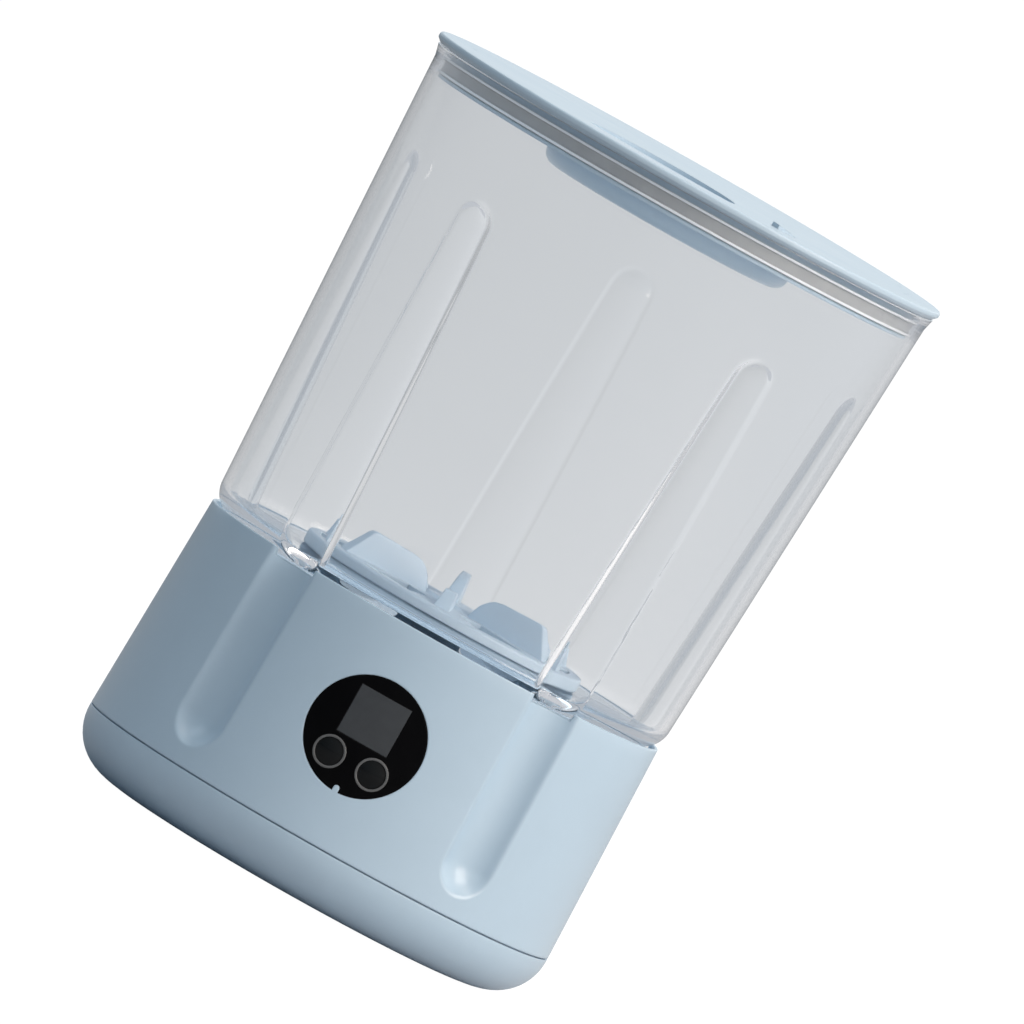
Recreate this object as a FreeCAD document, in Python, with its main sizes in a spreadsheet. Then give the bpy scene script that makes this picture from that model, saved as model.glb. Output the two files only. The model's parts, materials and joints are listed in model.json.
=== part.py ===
import FreeCAD, Part
import math
import os
import re
import Sketcher

# Automatic pet feeder: a clear hopper with a lid and a rotor stands in the deck of a round base,
# which holds the drive, the controls and a chute to the underside.
# Millimetres. +Z is up, -Y is the front with the window, and the origin is the centre of the
# footprint, level with the underside of the rubber feet.
# Angles named ..._azimuth are turned from the front towards +X.

# ---------------------------------------------------------------- driving dimensions

SIZES = {
    # base
    "foot_proud": 0.6,
    "seam_height": 18.0,
    "seam_gap": 0.4,
    "deck_height": 86.6,
    "deck_wall": 2.4,
    "rim_height": 2.4,
    "rim_width": 1.2,
    "base_radius": 78.6,
    "rim_radius": 76.6,
    "base_wall": 2.4,
    "bottom_round": 16.2,
    "lip_width": 1.2,
    "lip_height": 3.4,
    # flutes, shared by the base and the hopper
    "flute_count": 5,
    "flute_radius": 11.5,
    "flute_depth": 5.0,
    "base_flute_end": 25.0,
    "hopper_flute_drop": 33.5,
    "hopper_flute_end_depth": 1.95,
    # hopper
    "seat_gap": 0.1,
    "hopper_foot_radius": 76.55,
    "hopper_rim_radius": 84.3,
    "hopper_top": 242.0,
    "hopper_wall": 2.3,
    "hopper_floor": 2.3,
    "hopper_floor_lift": 2.3,
    "hopper_foot_round": 9.0,
    "hopper_foot_width": 2.0,
    "hopper_flare": 0.7,
    "hopper_flare_height": 4.0,
    # lid
    "lid_gap": 0.3,
    "lid_thickness": 2.7,
    "lid_plate": 2.0,
    "lid_radius": 86.0,
    "lid_edge_round": 0.8,
    "lid_bevel": 1.0,
    "skirt_radius": 79.4,
    "skirt_wall": 2.0,
    "skirt_height": 8.4,
    "liner_plate": 1.2,
    "liner_edge": 0.8,
    "gasket_body": 1.0,
    "gasket_lip": 0.9,
    "gasket_clearance": 0.2,
    "cup_radius": 41.3,
    "cup_wall": 1.9,
    "cup_depth": 6.6,
    "cup_round": 4.0,
    "cup_slot_count": 12,
    "cartridge_radius": 34.0,
    "cartridge_height": 7.0,
    "well_radius": 24.75,
    "well_distance": 52.3,
    "well_limit": 62.5,
    "well_depth": 5.4,
    "well_wall": 1.6,
    "well_azimuth": -8.3,
    "tab_azimuth": 32.0,
    "tab_distance": 64.0,
    "tab_length": 7.0,
    "tab_width": 4.0,
    "tab_height": 1.3,
    # rotor and its pockets
    "rotor_radius": 46.0,
    "rotor_thickness": 4.4,
    "rotor_gap": 0.3,
    "pocket_inner": 18.0,
    "pocket_outer": 40.0,
    "pocket_half_angle": 14.0,
    "hole_half_angle": 13.0,
    "hole_margin": 0.5,
    "vane_foot": 5.0,
    "vane_top": 2.8,
    "vane_inner": 9.7,
    "vane_outer": 40.0,
    "tall_vane": 9.5,
    "short_vane": 6.0,
    "hub_radius": 9.0,
    "hub_height": 1.2,
    "journal_radius": 6.95,
    # drive
    "fit": 0.05,
    "shaft_radius": 4.0,
    "dog_flats": 6.9,
    "dog_play": 0.2,
    "dog_length": 8.0,
    "foot_journal": 2.5,
    "bush_wall": 1.95,
    "bush_length": 4.4,
    "deck_boss_wall": 3.0,
    "deck_boss_depth": 4.2,
    "gear_module": 0.75,
    "gear_teeth": 30,
    "pinion_teeth": 12,
    "gear_width": 5.0,
    "gear_lift": 1.6,
    "case_height": 18.1,
    "case_wall": 1.6,
    "case_floor": 2.0,
    "case_inner_radius": 12.6,
    "ear_reach": 3.3,
    "index_radius": 8.6,
    "index_thickness": 1.0,
    "motor_radius": 12.2,
    "motor_head_length": 21.0,
    "motor_can_length": 30.0,
    "motor_shaft_radius": 1.95,
    # chute
    "chute_half_width": 11.0,
    "chute_margin": 1.0,
    "chute_wall": 1.6,
    "chute_play": 0.2,
    # window and keys
    "window_radius": 18.5,
    "window_height": 53.7,
    "window_play": 0.1,
    "window_flange": 2.3,
    "window_flange_depth": 1.2,
    "screen_play": 0.1,
    "notch_width": 2.1,
    "notch_depth": 2.1,
    "screen_width": 16.9,
    "screen_margin": 2.573,
    "screen_gap": 1.5,
    "key_margin": 1.952,
    "key_spread": 7.2,
    "key_radius": 4.25,
    "key_play": 0.1,
    "ring_radius": 5.1,
    "ring_proud": 0.2,
    "key_travel": 0.6,
    "key_flange": 1.0,
    "key_back_gap": 0.35,
    "key_post_radius": 1.5,
    "switch_height": 2.0,
    "switch_plunger": 0.4,
    "board_thickness": 1.6,
    "board_setback": 8.17,
    "board_width": 53.0,
    "board_height": 28.0,
    "board_drop": 13.7,
    "board_hole_spread": 23.5,
    # power
    "cell_radius": 9.2,
    "cell_length": 65.0,
    "cell_offset": 42.0,
    "cell_lift": 1.8,
    "usb_width": 8.94,
    "usb_height": 3.26,
    "usb_depth": 7.3,
    "usb_azimuth": 158.0,
    "usb_level": 28.0,
    "usb_setback": 0.92,
    "usb_board_length": 10.4,
    "usb_board_gap": 1.92,
    # feet, posts and screws
    "foot_radius": 6.0,
    "foot_thickness": 1.6,
    "foot_circle": 46.0,
    "post_radius": 4.0,
    "post_circle": 60.0,
    "post_azimuth": 72.0,
    "screw_radius": 1.2,
    "screw_head_radius": 2.4,
    "screw_head_height": 1.5,
    "screw_play": 0.05,
    # fixings inside the base
    "board_boss_radius": 2.4,
    "board_tap_depth": 3.2,
    "case_boss_radius": 3.0,
    "case_boss_length": 6.0,
    "ear_radius": 3.4,
    "ear_thickness": 3.0,
    "ear_web": 6.0,
    "ear_drop": 9.1,
    "motor_screw_spread": 8.5,
    "motor_boss_radius": 3.5,
    "motor_boss_height": 1.9,
    "can_cap_radius": 3.0,
    "can_cap_height": 1.6,
    "can_round": 1.5,
    # main board and cell
    "main_board_x": 34.5,
    "main_board_y": -10.0,
    "main_board_length": 33.0,
    "main_board_width": 40.0,
    "main_board_lift": 9.0,
    "main_peg_x": 13.5,
    "main_peg_y": 17.0,
    "capacitor_radius": 3.2,
    "capacitor_height": 9.0,
    "cell_cap_radius": 3.0,
    "cradle_wall": 1.3,
    "cradle_end": 12.0,
    "cradle_rail": 3.0,
    "contact_width": 10.0,
}

# Values that follow from the sizes, as the expressions that the model's own objects are bound to.
DERIVED = {
    "seam_top": "seam_height + seam_gap / 2",
    "seam_foot": "seam_height - seam_gap / 2",
    "cover_floor_top": "foot_proud + base_wall",
    "cover_screw_level": "foot_proud + screw_head_height + 0.2",
    "rim_top": "deck_height + rim_height",
    "deck_under": "deck_height - deck_wall",
    "rim_inner": "rim_radius - rim_width",
    "base_slope": "(base_radius - rim_radius) / (rim_top - seam_top)",
    "flute_half_width": "sqrt(2 * flute_radius * flute_depth - flute_depth * flute_depth)",
    "flute_end_half_width":
        "sqrt(2 * flute_radius * hopper_flute_end_depth - hopper_flute_end_depth^2)",
    "base_flute_length": "rim_top - base_flute_end - flute_half_width",
    "foot_level": "deck_height + seat_gap",
    "hopper_flute_end": "hopper_top - hopper_flute_drop",
    "hopper_slope": "(hopper_rim_radius - hopper_foot_radius) / (hopper_top - foot_level)",
    "knee_level": "foot_level + hopper_foot_round",
    "knee_radius": "hopper_foot_radius + hopper_slope * hopper_foot_round",
    "floor_under": "foot_level + hopper_floor_lift",
    "floor_top": "floor_under + hopper_floor",
    "flare_level": "hopper_top - hopper_flare_height",
    "flare_radius": "hopper_rim_radius - hopper_slope * hopper_flare_height",
    "hopper_flute_rise": "hopper_flute_end - flute_end_half_width - foot_level",
    "hopper_flute_lean": "hopper_slope + (flute_depth - hopper_flute_end_depth) / hopper_flute_rise",
    "bore_radius": "journal_radius + fit",
    "rotor_under": "floor_top + rotor_gap",
    "rotor_top": "rotor_under + rotor_thickness",
    "lid_under": "hopper_top + lid_gap",
    "lid_top": "lid_under + lid_thickness",
    "plate_under": "lid_top - lid_plate",
    "skirt_foot": "plate_under - skirt_height",
    "liner_top": "skirt_foot - 0.1",
    "liner_under": "liner_top - liner_plate",
    "liner_radius": "skirt_radius + liner_edge",
    "cup_under": "liner_under - cup_depth",
    "cup_inner": "cup_radius - cup_wall",
    "collar_radius": "cup_inner - 0.3",
    "hopper_inner_at_skirt":
        "hopper_foot_radius + hopper_slope * (skirt_foot - foot_level) - hopper_wall",
    "lip_radius": "hopper_inner_at_skirt - gasket_clearance",
    "bush_radius": "shaft_radius + fit + bush_wall",
    "deck_boss_radius": "bush_radius + deck_boss_wall",
    "case_top": "deck_under - 0.1",
    "case_foot": "case_top - case_height",
    "case_floor_top": "case_foot + case_floor",
    "case_radius": "case_inner_radius + case_wall",
    "gear_centres": "gear_module * (gear_teeth + pinion_teeth) / 2",
    "gear_foot": "case_floor_top + gear_lift",
    "gear_top": "gear_foot + gear_width",
    "index_foot": "gear_top + 2.2",
    "boss_foot": "deck_under - deck_boss_depth",
    "motor_top": "case_foot - 0.1",
    "chute_front": "pocket_inner - chute_margin",
    "chute_back": "pocket_outer + chute_margin",
    "window_face": "base_radius - base_slope * (window_height - seam_top)",
    "key_drop": "sqrt((window_radius - ring_radius - key_margin)^2 - key_spread^2)",
    "key_level": "window_height - key_drop",
    "key_face": "base_radius - base_slope * (key_level - seam_top)",
    "key_azimuth": "asin(key_spread / key_face)",
    "screen_top": "window_height + sqrt((window_radius - screen_margin)^2 - screen_width^2 / 4)",
    "screen_foot": "key_level + ring_radius + screen_gap",
    "screen_height": "screen_top - screen_foot",
    "control_board_face":
        "base_radius - base_slope * (window_height + window_radius - seam_top) - board_setback",
    "flange_face": "base_wall + 0.1 + window_flange_depth",
    "switch_tip": "control_board_face + switch_height + switch_plunger",
    "usb_wall": "base_radius - base_slope * (usb_level - seam_top)",
    "cell_level": "cover_floor_top + cell_lift + cell_radius",
    "cradle_length": "cell_length + 6.5",
    "board_boss_length": "window_face - base_wall / 2 - control_board_face - 3.6",
    "ear_foot": "deck_under - ear_drop",
}


def expr(text):
    """The text as an expression of the document: sizes become cells, derived names are spelled out."""
    def spelled(match):
        word = match.group(0)
        if word in DERIVED:
            return "(" + expr(DERIVED[word]) + ")"
        if word in SIZES:
            return "sizes." + word
        return word
    return re.sub(r"[a-z][a-z_0-9]*", spelled, str(text))


def number(text):
    """The value that an expression has now."""
    return float(sheet.evalExpression(expr(text)))


doc = FreeCAD.newDocument("feeder")
sheet = doc.addObject("Spreadsheet::Sheet", "sizes")
for row, (alias, value) in enumerate(SIZES.items(), start=1):
    sheet.set(f"A{row}", alias)
    sheet.set(f"B{row}", str(value))
    sheet.setAlias(f"B{row}", alias)
doc.recompute()

nodes = []


def node(thing, name):
    """Names a finished sub-part, which is written to the file of that name."""
    thing.Label = name
    nodes.append(thing)
    return thing


# ---------------------------------------------------------------- sketches

ORIGIN, X_AXIS, Y_AXIS = -1, -1, -2
START, END, CENTRE = 1, 2, 3


def bind(thing, **sizes):
    """Binds the named properties of an object to expressions."""
    for prop, text in sizes.items():
        thing.setExpression(prop, expr(text))
    return thing


def locate(sketch, geometry, point, x, y, fixed="xy"):
    """Fixes a point of a sketch's geometry at an expression for each coordinate named in fixed."""
    for coordinate, text, axis in (("x", x, Y_AXIS), ("y", y, X_AXIS)):
        if coordinate not in fixed:
            continue
        if str(text) == "0":
            sketch.addConstraint(Sketcher.Constraint("PointOnObject", geometry, point, axis))
            continue
        kind = "DistanceX" if coordinate == "x" else "DistanceY"
        rule = Sketcher.Constraint(kind, ORIGIN, 1, geometry, point, number(text))
        index = sketch.addConstraint(rule)
        sketch.setExpression(f"Constraints[{index}]", expr(text))


class Arc:
    """A step of an outline: an arc about (x, y), from the vertex before it to the one after it."""

    def __init__(self, x, y, turn):
        self.x, self.y, self.turn = x, y, turn


def outline(sketch, steps):
    """A closed outline of vertices (x, y) joined by lines, or by an Arc where one stands between."""
    corners = [step for step in steps if not isinstance(step, Arc)]
    arcs = []
    for step in steps:
        if isinstance(step, Arc):
            arcs[-1] = step
        else:
            arcs.append(None)
    spots = [FreeCAD.Vector(number(x), number(y), 0) for x, y in corners]
    ends = []
    for index, arc in enumerate(arcs):
        here, there = spots[index], spots[(index + 1) % len(spots)]
        if arc is None:
            ends.append((sketch.addGeometry(Part.LineSegment(here, there)), START, END))
            continue
        middle = FreeCAD.Vector(number(arc.x), number(arc.y), 0)
        circle = Part.Circle(middle, FreeCAD.Vector(0, 0, 1), (here - middle).Length)
        first, last = (here, there) if arc.turn > 0 else (there, here)
        angles = [math.atan2(spot.y - middle.y, spot.x - middle.x) for spot in (first, last)]
        geometry = sketch.addGeometry(Part.ArcOfCircle(circle, *angles))
        ends.append((geometry, START, END) if arc.turn > 0 else (geometry, END, START))
    for index, (geometry, _, last) in enumerate(ends):
        following, first, _ = ends[(index + 1) % len(ends)]
        joint = Sketcher.Constraint("Coincident", geometry, last, following, first)
        sketch.addConstraint(joint)
    for (geometry, first, _), (x, y) in zip(ends, corners):
        locate(sketch, geometry, first, x, y)
    for index, arc in enumerate(arcs):
        if arc is None:
            continue
        chord = spots[(index + 1) % len(spots)] - spots[index]
        free = "y" if abs(chord.x) > abs(chord.y) else "x"
        locate(sketch, ends[index][0], CENTRE, arc.x, arc.y, fixed=free)


def circle(sketch, x, y, radius):
    """A circle bound to expressions for its centre and radius."""
    middle = FreeCAD.Vector(number(x), number(y), 0)
    shape = Part.Circle(middle, FreeCAD.Vector(0, 0, 1), number(radius))
    geometry = sketch.addGeometry(shape)
    locate(sketch, geometry, CENTRE, x, y)
    index = sketch.addConstraint(Sketcher.Constraint("Radius", geometry, number(radius)))
    sketch.setExpression(f"Constraints[{index}]", expr(radius))


def rectangle(sketch, x0, y0, x1, y1):
    """A rectangle between two corners."""
    outline(sketch, [(x0, y0), (x1, y0), (x1, y1), (x0, y1)])


def sector(sketch, inner, outer, half_angle):
    """A sector of a ring about the origin, centred on the sketch's Y axis."""
    corner = [(f"{side} * {radius} * sin({half_angle})", f"{radius} * cos({half_angle})")
              for radius, side in ((inner, -1), (outer, -1), (outer, 1), (inner, 1))]
    outline(sketch, [corner[0], corner[1], Arc("0", "0", -1), corner[2], corner[3],
                     Arc("0", "0", 1)])


# ---------------------------------------------------------------- bodies and their features

def origin_part(body, role):
    """A plane or axis of a body's own origin."""
    return next(part for part in body.Origin.OriginFeatures if part.Role == role)


def new_body(name):
    return doc.addObject("PartDesign::Body", name + "_body")


def sketch_on(body, plane, name, shift=("0", "0", "0"), turn="0"):
    """A sketch on one of the body's origin planes, shifted and turned within that plane."""
    sketch = body.newObject("Sketcher::SketchObject", name)
    sketch.AttachmentSupport = [(origin_part(body, plane + "_Plane"), "")]
    sketch.MapMode = "FlatFace"
    start = FreeCAD.Vector(*[number(text) for text in shift])
    sketch.AttachmentOffset = FreeCAD.Placement(
        start, FreeCAD.Rotation(FreeCAD.Vector(0, 0, 1), number(turn)))
    for axis, text in zip("xyz", shift):
        if text != "0":
            sketch.setExpression("AttachmentOffset.Base." + axis, expr(text))
    return sketch


def feature(body, kind, sketch, **settings):
    """A feature made from a sketch; settings with a text value are bound as expressions."""
    made = body.newObject("PartDesign::" + kind, sketch.Name + "_" + kind.lower())
    made.Profile = sketch
    for prop, value in settings.items():
        if isinstance(value, str):
            made.setExpression(prop, expr(value))
        else:
            setattr(made, prop, value)
    sketch.Visibility = False
    return made


def volume_change(body, before, grows):
    """Checks that a feature added or took away material, as it should."""
    doc.recompute()
    change = body.Shape.Volume - before
    if (change > 0) != grows or abs(change) < 1e-3:
        raise ValueError(f"{body.Name}: the volume changed by {change:.3f}")


def add(body, kind, sketch, **settings):
    """A feature that adds material."""
    before = body.Shape.Volume if body.Tip else 0.0
    made = feature(body, kind, sketch, **settings)
    volume_change(body, before, True)
    return made


def take(body, kind, sketch, **settings):
    """A feature that takes material away."""
    before = body.Shape.Volume
    made = feature(body, kind, sketch, **settings)
    volume_change(body, before, False)
    return made


def turned(body, sketch, grows=True):
    """A full turn of a sketch about its own vertical axis."""
    if grows:
        return add(body, "Revolution", sketch, ReferenceAxis=(sketch, ["V_Axis"]), Angle=360.0)
    return take(body, "Groove", sketch, ReferenceAxis=(sketch, ["V_Axis"]), Angle=360.0)


def round_pattern(body, made, count, angle="360"):
    """Repeats a feature about the body's Z axis."""
    before = body.Shape.Volume
    pattern = body.newObject("PartDesign::PolarPattern", made.Name + "_ring")
    pattern.Originals = [made]
    pattern.Axis = (origin_part(body, "Z_Axis"), [""])
    pattern.setExpression("Angle", expr(angle))
    pattern.setExpression("Occurrences", expr(count))
    body.Tip = pattern
    doc.recompute()
    if abs(body.Shape.Volume - before) < 1e-3:
        raise ValueError(f"{pattern.Name} repeated nothing")
    return pattern


def solid_of_turn(name, steps):
    """A body turned about Z from a half section of (radius, height) steps."""
    body = new_body(name)
    sketch = sketch_on(body, "YZ", name + "_section")
    outline(sketch, steps)
    turned(body, sketch)
    return body


# ---------------------------------------------------------------- primitives and booleans

def placed(thing, x="0", y="0", z="0", yaw="0", roll="0"):
    """Places an object: rolled about X first, then turned about Z, then moved."""
    turn = FreeCAD.Rotation(number(yaw), 0, number(roll))
    spot = FreeCAD.Vector(number(x), number(y), number(z))
    thing.Placement = FreeCAD.Placement(spot, turn)
    for axis, text in zip("xyz", (x, y, z)):
        if str(text) != "0":
            thing.setExpression("Placement.Base." + axis, expr(text))
    return thing


def box(name, x0, y0, z0, length, width, height, yaw="0"):
    made = doc.addObject("Part::Box", name)
    bind(made, Length=length, Width=width, Height=height)
    return placed(made, x0, y0, z0, yaw)


def cylinder(name, x, y, z, radius, height, yaw="0", roll="0"):
    made = doc.addObject("Part::Cylinder", name)
    bind(made, Radius=radius, Height=height)
    return placed(made, x, y, z, yaw, roll)


def cone(name, z, lower, upper, height):
    made = doc.addObject("Part::Cone", name)
    bind(made, Radius1=lower, Radius2=upper, Height=height)
    return placed(made, z=z)


def prism(name, sides, circumradius, height, z="0"):
    made = doc.addObject("Part::Prism", name)
    made.Polygon = sides
    bind(made, Circumradius=circumradius, Height=height)
    return placed(made, z=z)


def joined(name, *shapes):
    made = doc.addObject("Part::MultiFuse", name)
    made.Shapes = list(shapes)
    return made


def cut(name, base, *tools):
    made = doc.addObject("Part::Cut", name)
    made.Base = base
    made.Tool = tools[0] if len(tools) == 1 else joined(name + "_tools", *tools)
    return made


def common(name, first, second):
    made = doc.addObject("Part::MultiCommon", name)
    made.Shapes = [first, second]
    return made


def group(name, things):
    made = doc.addObject("Part::Compound", name + "_group")
    made.Links = things
    return made


def forward(name, azimuth, level, radius, inner, outer):
    """A cylinder that points from the axis to the front, turned by azimuth, between two radii."""
    reach = f"({outer}) - ({inner})"
    x, y = f"({inner}) * sin({azimuth})", f"-({inner}) * cos({azimuth})"
    return cylinder(name, x, y, level, radius, reach, yaw=azimuth, roll="90")


# ---------------------------------------------------------------- base

def flute_profile(sketch, radius, low, high):
    """Half of a bar with a round end, about the sketch's vertical axis. low and high are heights
    along it: the round end is below low when low is the lower one, and above it otherwise."""
    tip, turn = (f"{low} - ({radius})", -1) if number(low) < number(high) else (
        f"{low} + {radius}", 1)
    outline(sketch, [("0", high), (radius, high), (radius, low), Arc("0", low, turn), ("0", tip)])


def flute_ring(body, name, radius, low, high, spot, lean, grows):
    """A bar with a round end along a flute at the back, repeated round the axis."""
    sketch = sketch_on(body, "YZ", name, shift=spot, turn=lean)
    flute_profile(sketch, radius, low, high)
    round_pattern(body, turned(body, sketch, grows), "flute_count")


BASE_FLUTE_SPOT = ("rim_radius - flute_depth + flute_radius", "rim_top", "0")
BASE_FLUTE_LEAN = "atan(base_slope)"
GEAR_CASE_EARS = (("case_radius + ear_reach", "-gear_centres / 2"),
                  ("-(case_radius + ear_reach)", "-gear_centres / 2"),
                  ("0", "-gear_centres - case_radius - ear_reach"))


def tubes(body, name, spots, outer, inner, foot, height):
    """Upright tubes at several spots, in one pad."""
    sketch = sketch_on(body, "XY", name, shift=("0", "0", foot))
    for x, y in spots:
        circle(sketch, x, y, outer)
        circle(sketch, x, y, inner)
    return add(body, "Pad", sketch, Length=height)


def window_hole(sketch):
    """The window's round opening with its nib at the lower edge, on the XZ plane."""
    size, half = "(window_radius + window_play)", "(notch_width / 2 - window_play)"
    edge = f"window_height - sqrt({size} ^ 2 - {half} ^ 2)"
    crown = "window_height - window_radius + notch_depth - notch_width / 2"
    outline(sketch, [(f"-{half}", edge), (f"-{half}", crown), Arc("0", crown, -1), (half, crown),
                     (half, edge), Arc("0", "window_height", 1)])


def base_shell():
    hole = "bush_radius + fit"
    tongue = "base_radius - lip_width - 0.15"
    body = solid_of_turn("base_shell", [
        ("base_radius", "seam_top"),
        ("rim_radius", "rim_top"),
        ("rim_inner", "rim_top"),
        ("rim_inner", "deck_height"),
        (hole, "deck_height"),
        (hole, "boss_foot"),
        ("deck_boss_radius", "boss_foot"),
        ("deck_boss_radius", "deck_under"),
        ("base_radius - base_wall - base_slope * (deck_under - seam_top)", "deck_under"),
        ("base_radius - base_wall", "seam_top"),
        ("base_radius - base_wall", "seam_top - lip_height + seam_gap"),
        (tongue, "seam_top - lip_height + seam_gap"),
        (tongue, "seam_top"),
    ])
    flute_ring(body, "flute_wall", "flute_radius + base_wall", "-base_flute_length",
               "-rim_height - deck_wall / 2", BASE_FLUTE_SPOT, BASE_FLUTE_LEAN, True)
    trim = sketch_on(body, "YZ", "base_trim")
    outline(trim, [("base_radius", "seam_top"), ("base_radius + 30", "seam_top"),
                   ("base_radius + 30", "rim_top"), ("rim_radius", "rim_top")])
    turned(body, trim, False)
    flute_ring(body, "flute_groove", "flute_radius", "-base_flute_length", "12",
               BASE_FLUTE_SPOT, BASE_FLUTE_LEAN, False)

    window = sketch_on(body, "XZ", "window_opening")
    window_hole(window)
    take(body, "Pocket", window, Length="base_radius + 5", Reversed=True)
    bosses = sketch_on(body, "XZ", "board_bosses", shift=("0", "0", "control_board_face + 0.1"))
    taps = sketch_on(body, "XZ", "board_taps", shift=("0", "0", "control_board_face + 0.1"))
    for side in ("", "-"):
        circle(bosses, side + "board_hole_spread", "window_height", "board_boss_radius")
        circle(taps, side + "board_hole_spread", "window_height", "screw_radius + screw_play")
    add(body, "Pad", bosses, Length="board_boss_length")
    take(body, "Pocket", taps, Length="board_tap_depth", Reversed=True)

    drop = sketch_on(body, "XY", "deck_drop", shift=("0", "0", "deck_height + 1"))
    rectangle(drop, "-chute_half_width", "chute_front", "chute_half_width", "chute_back")
    take(body, "Pocket", drop, Length="deck_wall + 2")
    post = tubes(body, "cover_posts",
                 [("post_circle * sin(post_azimuth)", "-post_circle * cos(post_azimuth)")],
                 "post_radius", "screw_radius + screw_play",
                 "cover_floor_top + 0.1", "deck_under + 0.5 - cover_floor_top")
    round_pattern(body, post, "4", "3 * post_azimuth")
    tubes(body, "gear_case_bosses", GEAR_CASE_EARS, "case_boss_radius",
          "screw_radius + screw_play", "deck_under - case_boss_length", "case_boss_length + 0.5")
    shell = cut("base_shell_cut", body, usb_opening())
    return node(shell, "base_shell")


def radial_point(distance, azimuth, across="0"):
    """Expressions for the point at a distance from the axis, moved across to its right."""
    return (f"({distance}) * sin({azimuth}) + ({across}) * cos({azimuth})",
            f"-({distance}) * cos({azimuth}) + ({across}) * sin({azimuth})")


def radial_box(name, azimuth, inner, outer, half_width, low, high):
    """A box that points from the axis to an azimuth, between two radii and two heights."""
    x, y = radial_point(outer, azimuth, f"-({half_width})")
    return box(name, x, y, low, f"2 * ({half_width})", f"({outer}) - ({inner})",
               f"({high}) - ({low})", yaw=azimuth)


def rounded_bar(name, azimuth, inner, outer, half_width, half_height, level):
    """A flat bar with round sides that points from the axis to an azimuth, as a USB plug does."""
    straight = f"({half_width}) - ({half_height})"
    pieces = [radial_box(name + "_flat", azimuth, inner, outer, straight,
                         f"({level}) - ({half_height})", f"({level}) + ({half_height})")]
    for side in ("", "-"):
        x, y = radial_point(inner, azimuth, f"{side}({straight})")
        pieces.append(cylinder(name + "_side", x, y, level, half_height,
                               f"({outer}) - ({inner})", yaw=azimuth, roll="90"))
    return joined(name, *pieces)


def usb_opening():
    return rounded_bar("usb_opening", "usb_azimuth", "base_radius - 12", "base_radius + 4",
                       "usb_width / 2 + 0.25", "usb_height / 2 + 0.25", "usb_level")


def ring_points(distance, first, step, count):
    """Expressions for points round the axis, the first at an azimuth."""
    return [radial_point(distance, f"({first} + {index} * {step})") for index in range(count)]


FEET = ring_points("foot_circle", "45", "90", 4)
COVER_SCREWS = ring_points("post_circle", "post_azimuth", "post_azimuth", 4)
BOARD_LEVEL = "cover_floor_top + main_board_lift"
BOARD_PEGS = [(f"main_board_x {x} main_peg_x", f"main_board_y {y} main_peg_y")
              for x in "-+" for y in "-+"]
# each component's offset from the board's middle, its length, width and height
CHIPS = [("-4.5", "-6", "10", "10", "1.2"), ("-7.5", "-16", "5", "6", "1.7"),
         ("1.5", "-18", "8", "8", "4"), ("-12.5", "6", "12", "5", "6"),
         ("3.5", "8", "8", "5", "6")]
CAPACITORS = [("9.5", "0"), ("-11.5", "-4")]


def bottom_cover():
    inner = "base_radius - base_wall"
    corner = "base_radius - bottom_round"
    shoulder = "foot_proud + bottom_round"
    body = solid_of_turn("bottom_cover", [
        ("0", "foot_proud"),
        (corner, "foot_proud"),
        Arc(corner, shoulder, 1),
        ("base_radius", shoulder),
        ("base_radius", "seam_foot"),
        ("base_radius - lip_width", "seam_foot"),
        ("base_radius - lip_width", "seam_foot - lip_height"),
        (inner, "seam_foot - lip_height"),
        Arc(corner, "seam_foot - lip_height", -1),
        (corner, "cover_floor_top"),
        ("0", "cover_floor_top"),
    ])
    outlet = sketch_on(body, "XY", "outlet", shift=("0", "0", "-1"))
    side = "chute_half_width + chute_wall + chute_play"
    rectangle(outlet, f"-({side})", "chute_front - chute_wall - chute_play", side,
              "chute_back + chute_wall + chute_play")
    take(body, "Pocket", outlet, Length="cover_floor_top + 3", Reversed=True)
    seats = sketch_on(body, "XY", "foot_seats")
    for x, y in FEET:
        circle(seats, x, y, "foot_radius + 0.1")
    take(body, "Pocket", seats, Length="foot_thickness", Reversed=True)
    holes = sketch_on(body, "XY", "screw_holes")
    heads = sketch_on(body, "XY", "screw_seats")
    for x, y in COVER_SCREWS:
        circle(holes, x, y, "screw_radius + 0.2")
        circle(heads, x, y, "screw_head_radius + 0.3")
    take(body, "Pocket", holes, Length="cover_floor_top + 1", Reversed=True)
    take(body, "Pocket", heads, Length="cover_screw_level", Reversed=True)
    tubes(body, "board_pegs", BOARD_PEGS, "2.6", "screw_radius + screw_play",
          "cover_floor_top - 0.5", "9.5 - 0.05")
    return node(body, "bottom_cover")


def rubber_feet():
    feet = [cylinder("foot", x, y, "0", "foot_radius", "foot_thickness") for x, y in FEET]
    return node(group("rubber_feet", feet), "rubber_feet")


def screw(name, length, x, y, z, roll="0", yaw="0"):
    """A cross-head screw, its shank down from the origin and its head above it."""
    shank = cylinder(name + "_shank", "0", "0", f"-({length})", "screw_radius",
                     f"{length} + screw_head_height / 2")
    head = cylinder(name + "_head", "0", "0", "0", "screw_head_radius", "screw_head_height")
    slots = [box(name + "_slot", f"-{a}", f"-{b}", "screw_head_height - 0.8",
                 f"2 * {a}", f"2 * {b}", "1") for a, b in (("1.5", "0.3"), ("0.3", "1.5"))]
    made = cut(name + "_cut", joined(name + "_solid", shank, head), *slots)
    return placed(made, x, y, z, yaw, roll)


def screws(name, length, spots, level, roll="0"):
    made = [screw(name, length, x, y, level, roll) for x, y in spots]
    return node(group(name, made), name)


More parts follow.
